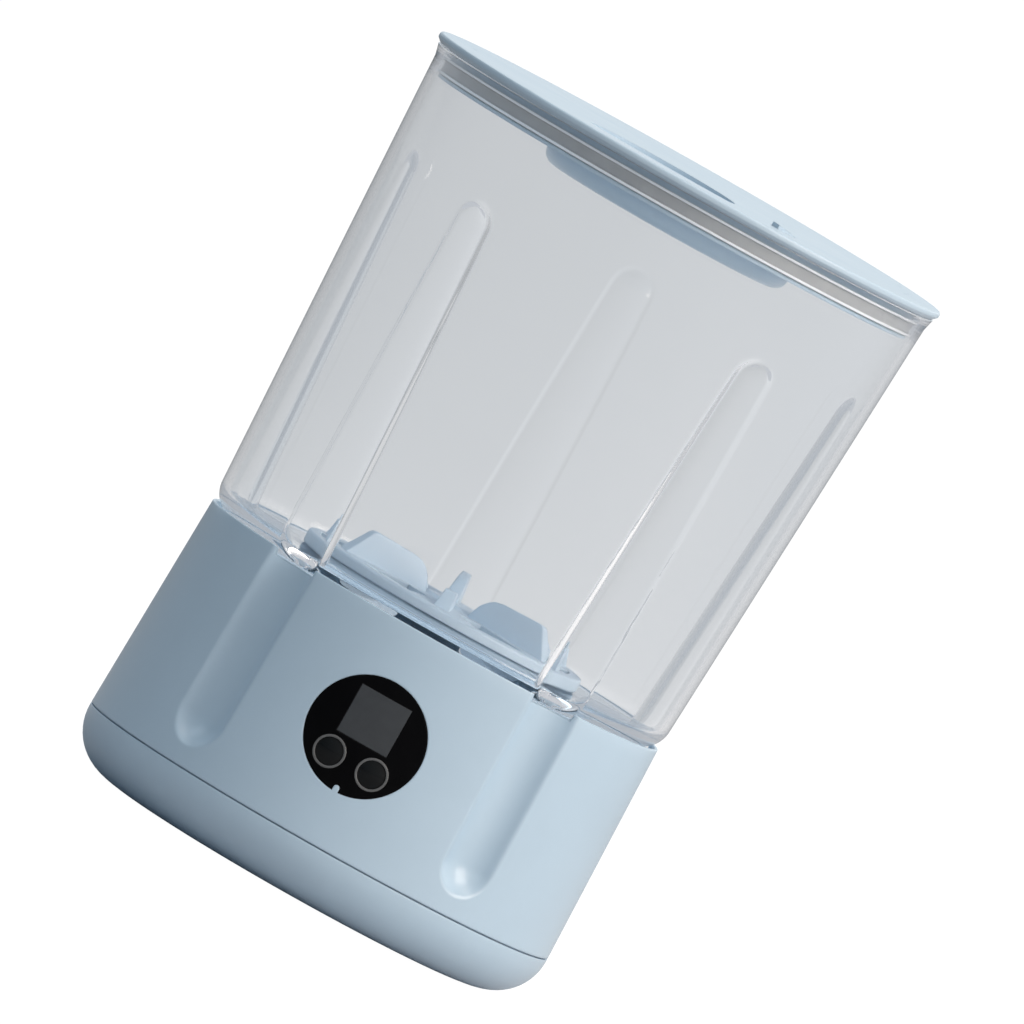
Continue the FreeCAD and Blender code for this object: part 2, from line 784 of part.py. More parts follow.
def drop_chute():
    """The square duct from the deck to the underside."""
    wall = "chute_wall"
    outer = box("chute_outer", f"-chute_half_width - {wall}", f"chute_front - {wall}",
                "foot_proud", f"2 * (chute_half_width + {wall})",
                f"chute_back - chute_front + 2 * {wall}", "deck_under - foot_proud - 0.1")
    inner = box("chute_inner", "-chute_half_width", "chute_front", "-1",
                "2 * chute_half_width", "chute_back - chute_front", "deck_under + 2")
    return node(cut("drop_chute_cut", outer, inner), "drop_chute")


# ---------------------------------------------------------------- drive

def deck_bush():
    outer = cylinder("bush_outer", "0", "0", "boss_foot", "bush_radius", "bush_length")
    bore = cylinder("bush_bore", "0", "0", "boss_foot - 1", "shaft_radius + fit", "bush_length + 2")
    return node(cut("deck_bush_cut", outer, bore), "deck_bush")


def shaft_seal():
    foot = "boss_foot + bush_length + 0.2"
    lip = "shaft_radius + 0.06"
    body = solid_of_turn("shaft_seal", [
        (lip, foot), ("bush_radius", foot), ("bush_radius", "deck_height - 0.4"),
        (f"{lip} + 1.2", "deck_height - 0.4"), (f"{lip} + 1.2", f"{foot} + 0.8"),
        (lip, f"{foot} + 0.5")])
    return node(body, "shaft_seal")


def gear_case_shape(name, foot, radius, height):
    """A solid with round ends over the output gear and the pinion."""
    ends = [cylinder(name + "_end", "0", y, foot, radius, height) for y in ("0", "-gear_centres")]
    middle = box(name + "_middle", f"-({radius})", "-gear_centres", foot, f"2 * ({radius})",
                 "gear_centres", height)
    return joined(name, middle, *ends)


MOTOR_SCREWS = [(f"{side}motor_screw_spread", "-gear_centres") for side in ("", "-")]


def gear_case():
    outer = gear_case_shape("case_outer", "case_foot", "case_radius", "case_height")
    ears = [cylinder("case_ear", x, y, "ear_foot", "ear_radius", "ear_thickness")
            for x, y in GEAR_CASE_EARS]
    webs = [box("case_web", "-case_radius - ear_reach + 2", "(-gear_centres - ear_web) / 2",
                "ear_foot", "2 * (case_radius + ear_reach - 2)", "ear_web", "ear_thickness"),
            box("case_web", "-ear_web / 2", "-gear_centres - case_radius - ear_reach",
                "ear_foot", "ear_web", "ear_web", "ear_thickness")]
    inner = gear_case_shape("case_inner", "case_floor_top", "case_inner_radius", "case_height")
    holes = [cylinder("ear_hole", x, y, "case_foot", "screw_radius + 0.2", "case_height")
             for x, y in GEAR_CASE_EARS]
    holes += [cylinder("motor_hole", x, y, "case_foot - 1", "screw_radius + 0.2", "case_floor + 2")
              for x, y in MOTOR_SCREWS]
    holes.append(cylinder("boss_hole", "0", "-gear_centres", "case_foot - 1",
                          "motor_boss_radius + 0.2", "case_floor + 2"))
    holes.append(cylinder("foot_bearing", "0", "0", "case_foot - 1", "foot_journal + fit",
                          "case_floor + 2"))
    solid = joined("case_solid", outer, *ears, *webs)
    return node(cut("gear_case_cut", solid, inner, *holes), "gear_case")


def gearmotor():
    hole = cylinder("motor_bore", "0", "-gear_centres", "motor_top - 6",
                    "motor_shaft_radius + fit", "10")
    drilled = [cylinder("motor_tap", x, y, "motor_top - 3.2", "screw_radius + screw_play", "4")
               for x, y in MOTOR_SCREWS]
    head = cylinder("motor_head", "0", "-gear_centres", "motor_top - motor_head_length",
                    "motor_radius", "motor_head_length")
    boss = cylinder("motor_boss", "0", "-gear_centres", "motor_top - 1", "motor_boss_radius",
                    "motor_boss_height + 1")
    node(cut("motor_head_cut", joined("motor_head_solid", head, boss), hole, *drilled),
         "motor_gearhead")
    can_top = "motor_top - motor_head_length - 0.05"
    body = new_body("motor_can")
    section = sketch_on(body, "YZ", "motor_can_section", shift=("-gear_centres", "0", "0"))
    radius, foot = "motor_radius - 0.4", f"{can_top} - motor_can_length"
    crown, corner = f"{foot} + can_cap_height", f"{radius} - can_round"
    outline(section, [("0", foot), ("can_cap_radius", foot), ("can_cap_radius", crown),
                      (corner, crown), Arc(corner, f"{crown} + can_round", 1),
                      (radius, f"{crown} + can_round"),
                      (radius, can_top), ("0", can_top)])
    turned(body, section)
    node(body, "motor_can")


def involute_gear(module, teeth, width, bore, thinning):
    """A spur gear with involute flanks, a tooth centred on +X, thinned by a backlash allowance."""
    pressure = math.radians(20)
    pitch = module * teeth / 2
    base, tip, root = pitch * math.cos(pressure), pitch + 0.8 * module, pitch - module
    half_tooth = (math.pi * module / 2 - thinning) / (2 * pitch)
    half_base = half_tooth + math.tan(pressure) - pressure
    flank = [(root, half_base)] if root < base else []
    steps = 7
    for step in range(steps):
        radius = max(base, root) + (tip - max(base, root)) * step / (steps - 1)
        slope = math.acos(min(1.0, base / radius))
        flank.append((radius, half_base - (math.tan(slope) - slope)))
    tooth = [(radius, -angle) for radius, angle in flank]
    tooth += [(radius, angle) for radius, angle in reversed(flank)]
    rim = []
    for index in range(teeth):
        turn = 2 * math.pi * index / teeth
        rim += [FreeCAD.Vector(radius * math.cos(angle + turn), radius * math.sin(angle + turn), 0)
                for radius, angle in tooth]
    wheel = Part.Face(Part.makePolygon(rim + [rim[0]])).extrude(FreeCAD.Vector(0, 0, width))
    hole = Part.makeCylinder(bore, width + 2, FreeCAD.Vector(0, 0, -1))
    return wheel.cut(hole)


def gears():
    """The output gear, with a tooth on the line to the pinion, and the pinion, with a gap there."""
    backlash = 0.12
    wheel = involute_gear(number("gear_module"), int(number("gear_teeth")), number("gear_width"),
                          number("shaft_radius + 0.02"), backlash)
    hub_foot = FreeCAD.Vector(0, 0, number("gear_width"))
    hub_height = number("index_foot - gear_top - 0.1")
    hub = Part.makeCylinder(6, hub_height, hub_foot)
    wheel = wheel.fuse(hub.cut(Part.makeCylinder(number("shaft_radius + 0.02"), 3, hub_foot)))
    gear = doc.addObject("Part::Feature", "output_gear_solid")
    gear.Shape = wheel.removeSplitter()
    placed(gear, z="gear_foot", yaw="-90")
    node(gear, "output_gear")
    pinion = doc.addObject("Part::Feature", "motor_pinion_solid")
    pinion.Shape = involute_gear(
        number("gear_module"), int(number("pinion_teeth")), number("gear_width + 0.6"),
        number("motor_shaft_radius + 0.02"), backlash)
    placed(pinion, y="-gear_centres", z="gear_foot - 0.3", yaw="90 + 180 / pinion_teeth")
    node(pinion, "motor_pinion")
    node(cylinder("motor_shaft_solid", "0", "-gear_centres", "motor_top - 5.8",
                  "motor_shaft_radius", "gear_top + 1 - motor_top + 5.8"), "motor_shaft")


def drive_shaft():
    """The upright shaft, its foot journal and the hexagonal dog that turns the rotor."""
    foot = cylinder("shaft_foot", "0", "0", "case_foot + 0.2", "foot_journal",
                    "gear_foot - case_foot")
    column = cylinder("shaft_column", "0", "0", "gear_foot - 0.2", "shaft_radius",
                      "deck_height + 0.2 - gear_foot")
    dog = prism("shaft_dog", 6, "dog_flats / 2 / cos(30)", "dog_length + 0.5",
                "deck_height - 0.5")
    return node(joined("drive_shaft_solid", foot, column, dog), "drive_shaft")


def index_wheel():
    """A thin wheel with six slots, one for each pocket of the rotor."""
    body = new_body("index_wheel")
    disc = sketch_on(body, "XY", "index_disc", shift=("0", "0", "index_foot"))
    circle(disc, "0", "0", "index_radius")
    circle(disc, "0", "0", "shaft_radius + 0.02")
    add(body, "Pad", disc, Length="index_thickness")
    slot = sketch_on(body, "XY", "index_slot", shift=("0", "0", "index_foot - 1"))
    rectangle(slot, "-0.7", "index_radius - 2", "0.7", "index_radius + 1")
    made = take(body, "Pocket", slot, Length="index_thickness + 2", Reversed=True)
    round_pattern(body, made, "6")
    return node(body, "index_wheel")


def index_sensor():
    """The forked slot sensor that the index wheel's rim runs through."""
    foot, reach = "index_foot - 1.8", "case_inner_radius - 0.5 - index_radius + 2"
    block = box("sensor_block", "index_radius - 2", "-2.6", foot, reach, "5.2",
                "index_thickness + 3.8")
    slot = box("sensor_slot", "index_radius - 3", "-4", "index_foot - 0.5", "3.6", "8",
               "index_thickness + 1")
    return node(cut("index_sensor_cut", block, slot), "index_sensor")


# ---------------------------------------------------------------- hopper and rotor

HOPPER_FLUTE_SPOT = ("hopper_foot_radius - flute_depth + flute_radius", "foot_level", "0")
HOPPER_FLUTE_LEAN = "-atan(hopper_flute_lean)"


def hopper():
    inner_round = "(knee_level - floor_top)"
    foot_edge = "knee_radius - hopper_foot_round"
    foot_inner = f"{foot_edge} - hopper_foot_width"
    body = solid_of_turn("hopper", [
        ("bore_radius", "deck_height + 0.6"),
        ("bore_radius + 2.4", "deck_height + 0.6"),
        ("bore_radius + 2.4", "floor_under"),
        (foot_inner, "floor_under"),
        (foot_inner, "foot_level"),
        (foot_edge, "foot_level"),
        Arc(foot_edge, "knee_level", 1),
        ("knee_radius", "knee_level"),
        ("flare_radius", "flare_level"),
        ("hopper_rim_radius + hopper_flare", "hopper_top"),
        ("hopper_rim_radius - hopper_wall", "hopper_top"),
        ("knee_radius - hopper_wall", "knee_level"),
        Arc(f"knee_radius - hopper_wall - {inner_round}", "knee_level", -1),
        (f"knee_radius - hopper_wall - {inner_round}", "floor_top"),
        ("bore_radius", "floor_top"),
    ])
    length = "hopper_flute_rise * sqrt(1 + hopper_flute_lean * hopper_flute_lean)"
    flute_ring(body, "hopper_flute_wall", "flute_radius + hopper_wall", length, "0",
               HOPPER_FLUTE_SPOT, HOPPER_FLUTE_LEAN, True)
    trim = sketch_on(body, "YZ", "hopper_trim")
    outline(trim, [(foot_edge, "foot_level - 12"), ("hopper_rim_radius + 30", "foot_level - 12"),
                   ("hopper_rim_radius + 30", "flare_level"), ("flare_radius", "flare_level"),
                   ("knee_radius", "knee_level"), Arc(foot_edge, "knee_level", -1),
                   (foot_edge, "foot_level")])
    turned(body, trim, False)
    flute_ring(body, "hopper_flute_groove", "flute_radius", length, "-8",
               HOPPER_FLUTE_SPOT, HOPPER_FLUTE_LEAN, False)
    hole = sketch_on(body, "XY", "hopper_drop", shift=("0", "0", "deck_height"))
    sector(hole, "(pocket_inner + hole_margin)", "(pocket_outer - hole_margin)",
           "hole_half_angle")
    take(body, "Pocket", hole, Length="floor_top - deck_height + 1", Reversed=True)
    return node(body, "hopper")


def vane_outline(sketch, height, way):
    """A vane's side view on the YZ plane: a steep outer end and a long rounded inner end."""
    top = f"rotor_top + {height}"
    outline(sketch, [(f"{way} * vane_inner", "rotor_top - 1"),
                     (f"{way} * vane_outer", "rotor_top - 1"),
                     (f"{way} * vane_outer", "rotor_top"),
                     (f"{way} * (vane_outer - 5.5)", f"{top} - 1"),
                     (f"{way} * (vane_outer - 8)", top),
                     (f"{way} * (vane_inner + 8.3)", f"{top} - 0.7"),
                     (f"{way} * (vane_inner + 4)", f"{top} - 2.2"),
                     (f"{way} * (vane_inner + 1.6)", f"rotor_top + 0.5 * ({height})"),
                     (f"{way} * vane_inner", "rotor_top + 0.6")])


def feed_rotor():
    body = solid_of_turn("feed_rotor", [
        ("0", "rotor_under"),
        ("rotor_radius - 0.8", "rotor_under"),
        ("rotor_radius", "rotor_under + 0.8"),
        ("rotor_radius", "rotor_top - 1"),
        ("rotor_radius - 1", "rotor_top"),
        ("hub_radius", "rotor_top"),
        ("hub_radius - 1.5", "rotor_top + hub_height"),
        ("0", "rotor_top + hub_height"),
    ])
    journal = sketch_on(body, "XY", "journal", shift=("0", "0", "deck_height + 0.8"))
    circle(journal, "0", "0", "journal_radius")
    add(body, "Pad", journal, Length="rotor_under + 0.5 - deck_height - 0.8")
    for name, height, way in (("tall_vane", "tall_vane", "1"), ("short_vane", "short_vane", "-1")):
        side = sketch_on(body, "YZ", name + "_side")
        vane_outline(side, height, way)
        pad = add(body, "Pad", side, Length="vane_foot", Midplane=True)
        round_pattern(body, pad, "3")
    flank = sketch_on(body, "XZ", "vane_flanks", shift=("0", "0", "-vane_outer - 2"))
    for side in ("", "-"):
        outline(flank, [(f"{side}vane_foot / 2", "rotor_top"),
                        (f"{side}vane_foot", "rotor_top"),
                        (f"{side}vane_foot", "rotor_top + tall_vane + 1"),
                        (f"{side}vane_top / 2", "rotor_top + tall_vane + 1")])
    slopes = take(body, "Pocket", flank, Length="vane_outer + 2 - vane_inner", Reversed=True)
    round_pattern(body, slopes, "6")
    pocket = sketch_on(body, "XY", "food_pocket", shift=("0", "0", "rotor_under - 1"), turn="30")
    sector(pocket, "pocket_inner", "pocket_outer", "pocket_half_angle")
    made = take(body, "Pocket", pocket, Length="rotor_thickness + 2", Reversed=True)
    round_pattern(body, made, "6")
    socket = prism("dog_socket", 6, "(dog_flats + dog_play) / 2 / cos(30)",
                   "dog_length + 0.6", "deck_height")
    return node(cut("feed_rotor_cut", body, socket), "feed_rotor")


# ---------------------------------------------------------------- lid

def lid():
    body = solid_of_turn("lid", [
        ("0", "plate_under"),
        ("skirt_radius - skirt_wall", "plate_under"),
        ("skirt_radius - skirt_wall", "skirt_foot"),
        ("skirt_radius", "skirt_foot"),
        ("skirt_radius", "lid_under"),
        ("lid_radius - lid_bevel", "lid_under"),
        ("lid_radius", "lid_under + lid_bevel"),
        ("lid_radius", "lid_top - lid_edge_round"),
        Arc("lid_radius - lid_edge_round", "lid_top - lid_edge_round", 1),
        ("lid_radius - lid_edge_round", "lid_top"),
        ("0", "lid_top"),
    ])

    def well(name, growth, foot, height):
        x, y = radial_point("well_distance", "well_azimuth")
        dish = cylinder(name + "_dish", x, y, foot, f"well_radius + {growth}", height)
        limit = cylinder(name + "_limit", "0", "0", foot, f"well_limit + {growth}", height)
        return common(name, dish, limit)

    shell = well("well_shell", "well_wall", "lid_top - well_depth - well_wall",
                 "well_depth + well_wall - lid_plate / 2")
    tab = doc.addObject("Part::Wedge", "lid_tab")
    bind(tab, Xmax="tab_width", Ymax="tab_length", Zmax="tab_height + 0.5",
         X2max="tab_width", Z2max="0.9")
    for prop in ("Xmin", "Ymin", "Zmin", "X2min", "Z2min"):
        setattr(tab, prop, 0)
    x, y = radial_point("tab_distance - tab_width / 2", "tab_azimuth", "-tab_length / 2")
    placed(tab, x, y, "lid_top - 0.5", yaw="tab_azimuth - 90")
    hollow = well("well_hollow", "0", "lid_top - well_depth", "well_depth + 1")
    pips = []
    for azimuth in ("-90", "84", "94", "108"):
        x, y = radial_point("lid_radius - 11.5", f"({azimuth})")
        pips.append(cylinder("pip", x, y, "lid_top - 0.4", "0.75", "1"))
    return node(cut("lid_cut", joined("lid_solid", body, shell, tab), hollow, *pips), "lid")


def lid_gasket():
    root = "skirt_radius + 0.05"
    body_radius = "skirt_radius + gasket_body"
    low, high = "liner_top + 0.1", "lid_under - 2"
    tip = "0.25"
    body = solid_of_turn("lid_gasket", [
        (root, low),
        (body_radius, low),
        ("lip_radius", f"{low} + {tip}"),
        ("lip_radius", f"{low} + gasket_lip"),
        (body_radius, f"{low} + gasket_lip + 0.2"),
        (body_radius, f"{high} - gasket_lip - 0.2"),
        ("lip_radius", f"{high} - gasket_lip"),
        ("lip_radius", f"{high} - {tip}"),
        (body_radius, high),
        (root, high),
    ])
    return node(body, "lid_gasket")


def lid_liner():
    """The pan that closes the lid's plug, with the collar that the desiccant cup turns on."""
    bore = "collar_radius - 1.6"
    ring = "skirt_radius - skirt_wall - 0.15"
    body = solid_of_turn("lid_liner", [
        (bore, "liner_under - cup_depth + 3"),
        ("collar_radius", "liner_under - cup_depth + 3"),
        ("collar_radius", "liner_under"),
        ("liner_radius", "liner_under"),
        ("liner_radius", "liner_top"),
        (ring, "liner_top"),
        (ring, "liner_top + 3"),
        (f"{ring} - 1.6", "liner_top + 3"),
        (f"{ring} - 1.6", "liner_top"),
        (bore, "liner_top"),
    ])
    return node(body, "lid_liner")


def desiccant_cup():
    """The round cup that turns on the liner's collar, its floor open in a ring of slots."""
    floor = "cup_under + 1.6"
    corner, small = "cup_radius - cup_round", "cup_round - cup_wall"
    body = solid_of_turn("desiccant_cup", [
        ("0", "cup_under"),
        (corner, "cup_under"),
        Arc(corner, "cup_under + cup_round", 1),
        ("cup_radius", "cup_under + cup_round"),
        ("cup_radius", "liner_under - 0.15"),
        ("cup_inner", "liner_under - 0.15"),
        ("cup_inner", "cup_under + cup_round"),
        Arc(corner, "cup_under + cup_round", -1),
        (corner, f"cup_under + cup_round - ({small})"),
        (f"{corner} - 1", floor),
        ("0", floor),
    ])
    slot = sketch_on(body, "XY", "cup_slot", shift=("0", "0", "cup_under - 1"))
    rectangle(slot, "-1.2", "14", "1.2", "30")
    made = take(body, "Pocket", slot, Length="4", Reversed=True)
    round_pattern(body, made, "cup_slot_count")
    return node(body, "desiccant_cup")


def desiccant_cartridge():
    foot = "cup_under + 1.8"
    top = f"{foot} + cartridge_height"
    body = solid_of_turn("desiccant_cartridge", [
        ("0", foot), ("cartridge_radius - 1.5", foot), ("cartridge_radius", f"{foot} + 1.5"),
        ("cartridge_radius", f"{top} - 1.5"), ("cartridge_radius - 1.5", top), ("0", top)])
    return node(body, "desiccant_cartridge")


# ---------------------------------------------------------------- window, keys and boards

def curved_skin(name, outer_inset, inner_inset):
    """A slice of the base's own tapered surface, between two depths under it."""
    low = "seam_top"
    height = "rim_top - seam_top"
    solids = [cone(name + "_cone", low, f"base_radius - ({inset})", f"rim_radius - ({inset})",
                   height) for inset in (outer_inset, inner_inset)]
    return cut(name, *solids)


def front_cylinder(name, level, radius):
    """A round bar from the axis to beyond the front of the base."""
    return forward(name, "0", level, radius, "base_radius - 12", "base_radius + 4")


def key_tool(name, side, radius, inner, outer):
    """A cylinder on a key's own axis, which is square to the surface there."""
    return forward(name, f"({side} * key_azimuth)", "key_level", radius, inner, outer)


def display_window():
    face = common("window_face_plate", curved_skin("window_skin", "0", "base_wall"),
                  front_cylinder("window_disc", "window_height", "window_radius"))
    flange = common("window_flange_plate",
                    curved_skin("flange_skin", "base_wall + 0.1", "flange_face"),
                    front_cylinder("flange_disc", "window_height", "window_radius + window_flange"))
    neck = common("window_neck", curved_skin("neck_skin", "base_wall / 2", "flange_face - 0.2"),
                  front_cylinder("neck_disc", "window_height", "window_radius - 0.5"))
    screen = box("screen_hole", "-screen_width / 2 - screen_play", "-base_radius - 5",
                 "screen_foot - screen_play", "screen_width + 2 * screen_play", "20",
                 "screen_height + 2 * screen_play")
    notch_top = "window_height - window_radius + notch_depth - notch_width / 2"
    notch = [box("notch_slot", "-notch_width / 2", "-base_radius - 5",
                 "window_height - window_radius - 3", "notch_width",
                 "base_radius + 5 - window_face + base_wall + 0.4",
                 "notch_depth + 3 - notch_width / 2"),
             forward("notch_top", "0", notch_top, "notch_width / 2",
                     "window_face - base_wall - 0.4", "base_radius + 5")]
    holes = []
    for side in ("1", "-1"):
        holes.append(key_tool("key_hole", side, "key_radius + key_play", "base_radius - 12",
                              "base_radius + 4"))
        holes.append(key_tool("ring_seat", side, "ring_radius + 0.05", "key_face - 2",
                              "base_radius + 4"))
    solid = joined("window_solid", face, flange, neck)
    return node(cut("display_window_cut", solid, screen, *notch, *holes), "display_window")


def screen_lens():
    block = box("lens_block", "-screen_width / 2", "-base_radius - 5",
                "screen_foot", "screen_width", "20", "screen_height")
    return node(common("screen_lens_solid", curved_skin("lens_skin", "0.05", "2.2"), block),
                "screen_lens")


def lcd_panel():
    panel = box("lcd_box", "-screen_width / 2 - 1.5", "-control_board_face - 3.2",
                "screen_foot - 1.2", "screen_width + 3", "3.1", "screen_height + 2.4")
    return node(panel, "lcd_panel")


def key_rings():
    rings = []
    for side in ("1", "-1"):
        outer = key_tool("ring_outer", side, "ring_radius", "key_face - 1.9",
                         "key_face + ring_proud")
        bore = key_tool("ring_bore", side, "key_radius + key_play", "key_face - 4",
                        "key_face + 2")
        rings.append(cut("key_ring", outer, bore))
    return node(group("key_rings", rings), "key_rings")


def key(name, side):
    """A domed key cap with the flange that keeps it behind the window."""
    back = "key_face - flange_face - key_back_gap - (key_radius + key_flange) * base_slope"
    stem = key_tool(name + "_stem", side, "key_radius", f"{back} - 0.5", "key_face - 0.1")
    flange = key_tool(name + "_flange", side, "key_radius + key_flange", f"{back} - 0.7", back)
    post = key_tool(name + "_post", side, "key_post_radius",
                    "(switch_tip + key_post_radius * sin(key_azimuth)) / cos(key_azimuth) + key_travel"
                    " + 0.1", f"{back} - 0.5")
    dome_radius = "12"
    sphere = doc.addObject("Part::Sphere", name + "_dome")
    bind(sphere, Radius=dome_radius)
    reach = f"(key_face - 0.2 - sqrt({dome_radius} ^ 2 - key_radius ^ 2))"
    x, y = radial_point(reach, f"({side} * key_azimuth)")
    placed(sphere, x, y, "key_level")
    crown = common(name + "_crown", sphere, key_tool(name + "_limit", side, "key_radius",
                                                     "key_face - 0.4", "key_face + 3"))
    return node(joined(name + "_solid", stem, flange, post, crown), name)


BOARD_SPOTS = [("board_hole_spread", "window_height"), ("-board_hole_spread", "window_height")]


def control_board():
    """The upright board behind the window, held by two screws to the shell's bosses."""
    plate = box("control_plate", "-board_width / 2", "-control_board_face",
                "window_height - board_drop", "board_width", "board_thickness", "board_height")
    holes = [cylinder("control_hole", x, "-control_board_face - 1", z, "screw_radius + 0.2",
                      "board_thickness + 2", roll="-90") for x, z in BOARD_SPOTS]
    node(cut("control_board_cut", plate, *holes), "control_board")
    fixings = [screw("control_screw", "board_thickness + 2.8", x,
                     "-control_board_face + board_thickness", z, roll="-90")
               for x, z in BOARD_SPOTS]
    node(group("control_board_screws", fixings), "control_board_screws")
    switches = []
    for side in ("", "-"):
        x = f"{side}(switch_tip * tan(key_azimuth))"
        case = box("switch_case", f"{x} - 3", "-control_board_face - switch_height - 0.1",
                   "key_level - 3", "6", "switch_height", "6")
        plunger = cylinder("switch_plunger", x, "1 - switch_tip", "key_level", "1.6", "1",
                           roll="90")
        switches.append(joined("tact_switch", case, plunger))
    node(group("tact_switches", switches), "tact_switches")


def main_board():
    """The board on the bottom cover's pegs, with its larger components."""
    level = BOARD_LEVEL
    plate = box("main_plate", "main_board_x - main_board_length / 2",
                "main_board_y - main_board_width / 2", level, "main_board_length",
                "main_board_width", "board_thickness")
    holes = [cylinder("main_hole", x, y, f"{level} - 1", "screw_radius + 0.2",
                      "board_thickness + 2") for x, y in BOARD_PEGS]
    node(cut("main_board_cut", plate, *holes), "main_board")
    screws("main_board_screws", "board_thickness + 5", BOARD_PEGS, f"{level} + board_thickness")
    top = f"{level} + board_thickness + 0.05"
    chips = [box("chip", f"main_board_x + ({x})", f"main_board_y + ({y})", top, *size)
             for x, y, *size in CHIPS]
    chips += [cylinder("capacitor", f"main_board_x + ({x})", f"main_board_y + ({y})", top,
                       "capacitor_radius", "capacitor_height") for x, y in CAPACITORS]
    return node(group("board_chips", chips), "board_chips")


def battery():
    x = "-cell_offset"
    half = "cell_length / 2"
    cell = cylinder("cell_can", x, half, "cell_level", "cell_radius", "cell_length - 1.2",
                    roll="90")
    cap = cylinder("cell_cap", x, f"1.3 - {half}", "cell_level", "cell_cap_radius", "1.3",
                   roll="90")
    node(joined("battery_cell_solid", cell, cap), "battery_cell")
    side = "cell_radius + cradle_wall"
    block = box("cradle_block", f"{x} - ({side})", "-cradle_length / 2", "cover_floor_top",
                f"2 * ({side})", "cradle_length", "cell_radius + cell_lift")
    hollow = cylinder("cradle_hollow", x, f"{half} + 0.9", "cell_level", "cell_radius + 0.1",
                      "cell_length + 1.8", roll="90")
    opening = box("cradle_window", f"{x} - ({side}) - 1", f"cradle_end - {half}",
                  "cover_floor_top + cradle_rail", f"2 * ({side}) + 2",
                  "cell_length - 2 * cradle_end", "cell_radius * 2 + cell_lift")
    node(cut("battery_cradle_cut", block, hollow, opening), "battery_cradle")
    plates = [box("contact_plate", f"{x} - contact_width / 2", y, "cell_level - 6",
                  "contact_width", "0.5", "11")
              for y in (f"{half} + 0.1", f"-{half} - 0.6")]
    return node(group("battery_contacts", plates), "battery_contacts")


def usb_inlet():
    """The power inlet's metal shell with its tongue, and the small board that it is soldered to."""
    face = "usb_wall - usb_setback"
    back = f"({face}) - usb_depth"
    outer = rounded_bar("usb_outer", "usb_azimuth", back, face, "usb_width / 2", "usb_height / 2",
                        "usb_level")
    mouth = rounded_bar("usb_mouth", "usb_azimuth", f"{back} + 1", f"{face} + 1",
                        "usb_width / 2 - 0.3", "usb_height / 2 - 0.3", "usb_level")
    tongue = radial_box("usb_tongue", "usb_azimuth", f"{back} + 0.5", f"{face} - 1.5", "3.3",
                        "usb_level - 0.35", "usb_level + 0.35")
    node(joined("usb_inlet_solid", cut("usb_shell", outer, mouth), tongue), "usb_inlet")
    top = "usb_level - usb_height / 2 - 0.05"
    edge = "usb_wall - base_wall - usb_board_gap"
    board = radial_box("usb_board_plate", "usb_azimuth", f"{edge} - usb_board_length", edge, "7",
                       f"{top} - 1.2", top)
    return node(board, "usb_board")


# ---------------------------------------------------------------- the whole feeder

base_shell()
bottom_cover()
rubber_feet()
screws("cover_screws", "9", COVER_SCREWS, "cover_screw_level - 0.02", roll="180")
drop_chute()
deck_bush()
shaft_seal()
gear_case()
screws("gear_case_screws", "7", GEAR_CASE_EARS, "ear_foot - 0.1", roll="180")
gearmotor()
screws("motor_screws", "case_floor + 3", MOTOR_SCREWS, "case_floor_top")
gears()
drive_shaft()
index_wheel()
index_sensor()
hopper()
feed_rotor()
lid()
lid_gasket()
lid_liner()
desiccant_cup()
desiccant_cartridge()
display_window()
screen_lens()
lcd_panel()
key_rings()
key("key_right", "1")
key("key_left", "-1")
control_board()
main_board()
battery()
usb_inlet()

doc.recompute()
for thing in doc.Objects:
    faults = {"Invalid", "Error"} & set(thing.State)
    if faults:
        raise ValueError(f"{thing.Name}: {faults}")
os.makedirs("parts", exist_ok=True)
for thing in nodes:
    if thing.Shape.isNull() or not thing.Shape.isValid():
        raise ValueError(f"{thing.Label} has no valid shape")
    thing.Shape.exportStep(f"parts/{thing.Label}.step")
print(len(nodes), "sub-parts written")
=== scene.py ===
import json
import math

import bmesh
import bpy
from mathutils import Matrix, Vector


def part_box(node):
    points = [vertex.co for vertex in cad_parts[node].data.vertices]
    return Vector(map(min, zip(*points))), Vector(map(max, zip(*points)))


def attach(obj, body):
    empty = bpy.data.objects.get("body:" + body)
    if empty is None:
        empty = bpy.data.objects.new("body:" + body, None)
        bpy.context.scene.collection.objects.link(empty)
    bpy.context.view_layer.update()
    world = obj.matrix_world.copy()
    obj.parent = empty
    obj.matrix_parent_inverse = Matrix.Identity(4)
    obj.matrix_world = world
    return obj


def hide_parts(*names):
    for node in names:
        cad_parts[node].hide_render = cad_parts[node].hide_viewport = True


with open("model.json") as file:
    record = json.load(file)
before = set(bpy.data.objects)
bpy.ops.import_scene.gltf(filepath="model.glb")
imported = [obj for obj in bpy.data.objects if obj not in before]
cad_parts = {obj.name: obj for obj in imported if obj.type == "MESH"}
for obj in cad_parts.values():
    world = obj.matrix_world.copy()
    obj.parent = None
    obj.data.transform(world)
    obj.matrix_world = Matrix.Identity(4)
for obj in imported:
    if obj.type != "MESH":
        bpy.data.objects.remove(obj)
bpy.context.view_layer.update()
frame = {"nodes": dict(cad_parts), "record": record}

# ---------------------------------------------------------------- sizes, in metres

MM = 0.001

HOPPER_LOW, HOPPER_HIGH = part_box("hopper")
_, SHELL_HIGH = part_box("base_shell")
ROTOR_LOW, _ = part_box("feed_rotor")

FLUTES = 5
FIRST_FLUTE = math.radians(180 / FLUTES)
FLUTE_RADIUS = 11.5 * MM
FLUTE_DEPTH = 5.0 * MM
EDGE_SOFTNESS = 1.7 * MM
CLEAR_EDGE_SOFTNESS = 0.3 * EDGE_SOFTNESS
OVERSHOOT = 1 * MM  # how far a cutting shape reaches past the surface it cuts

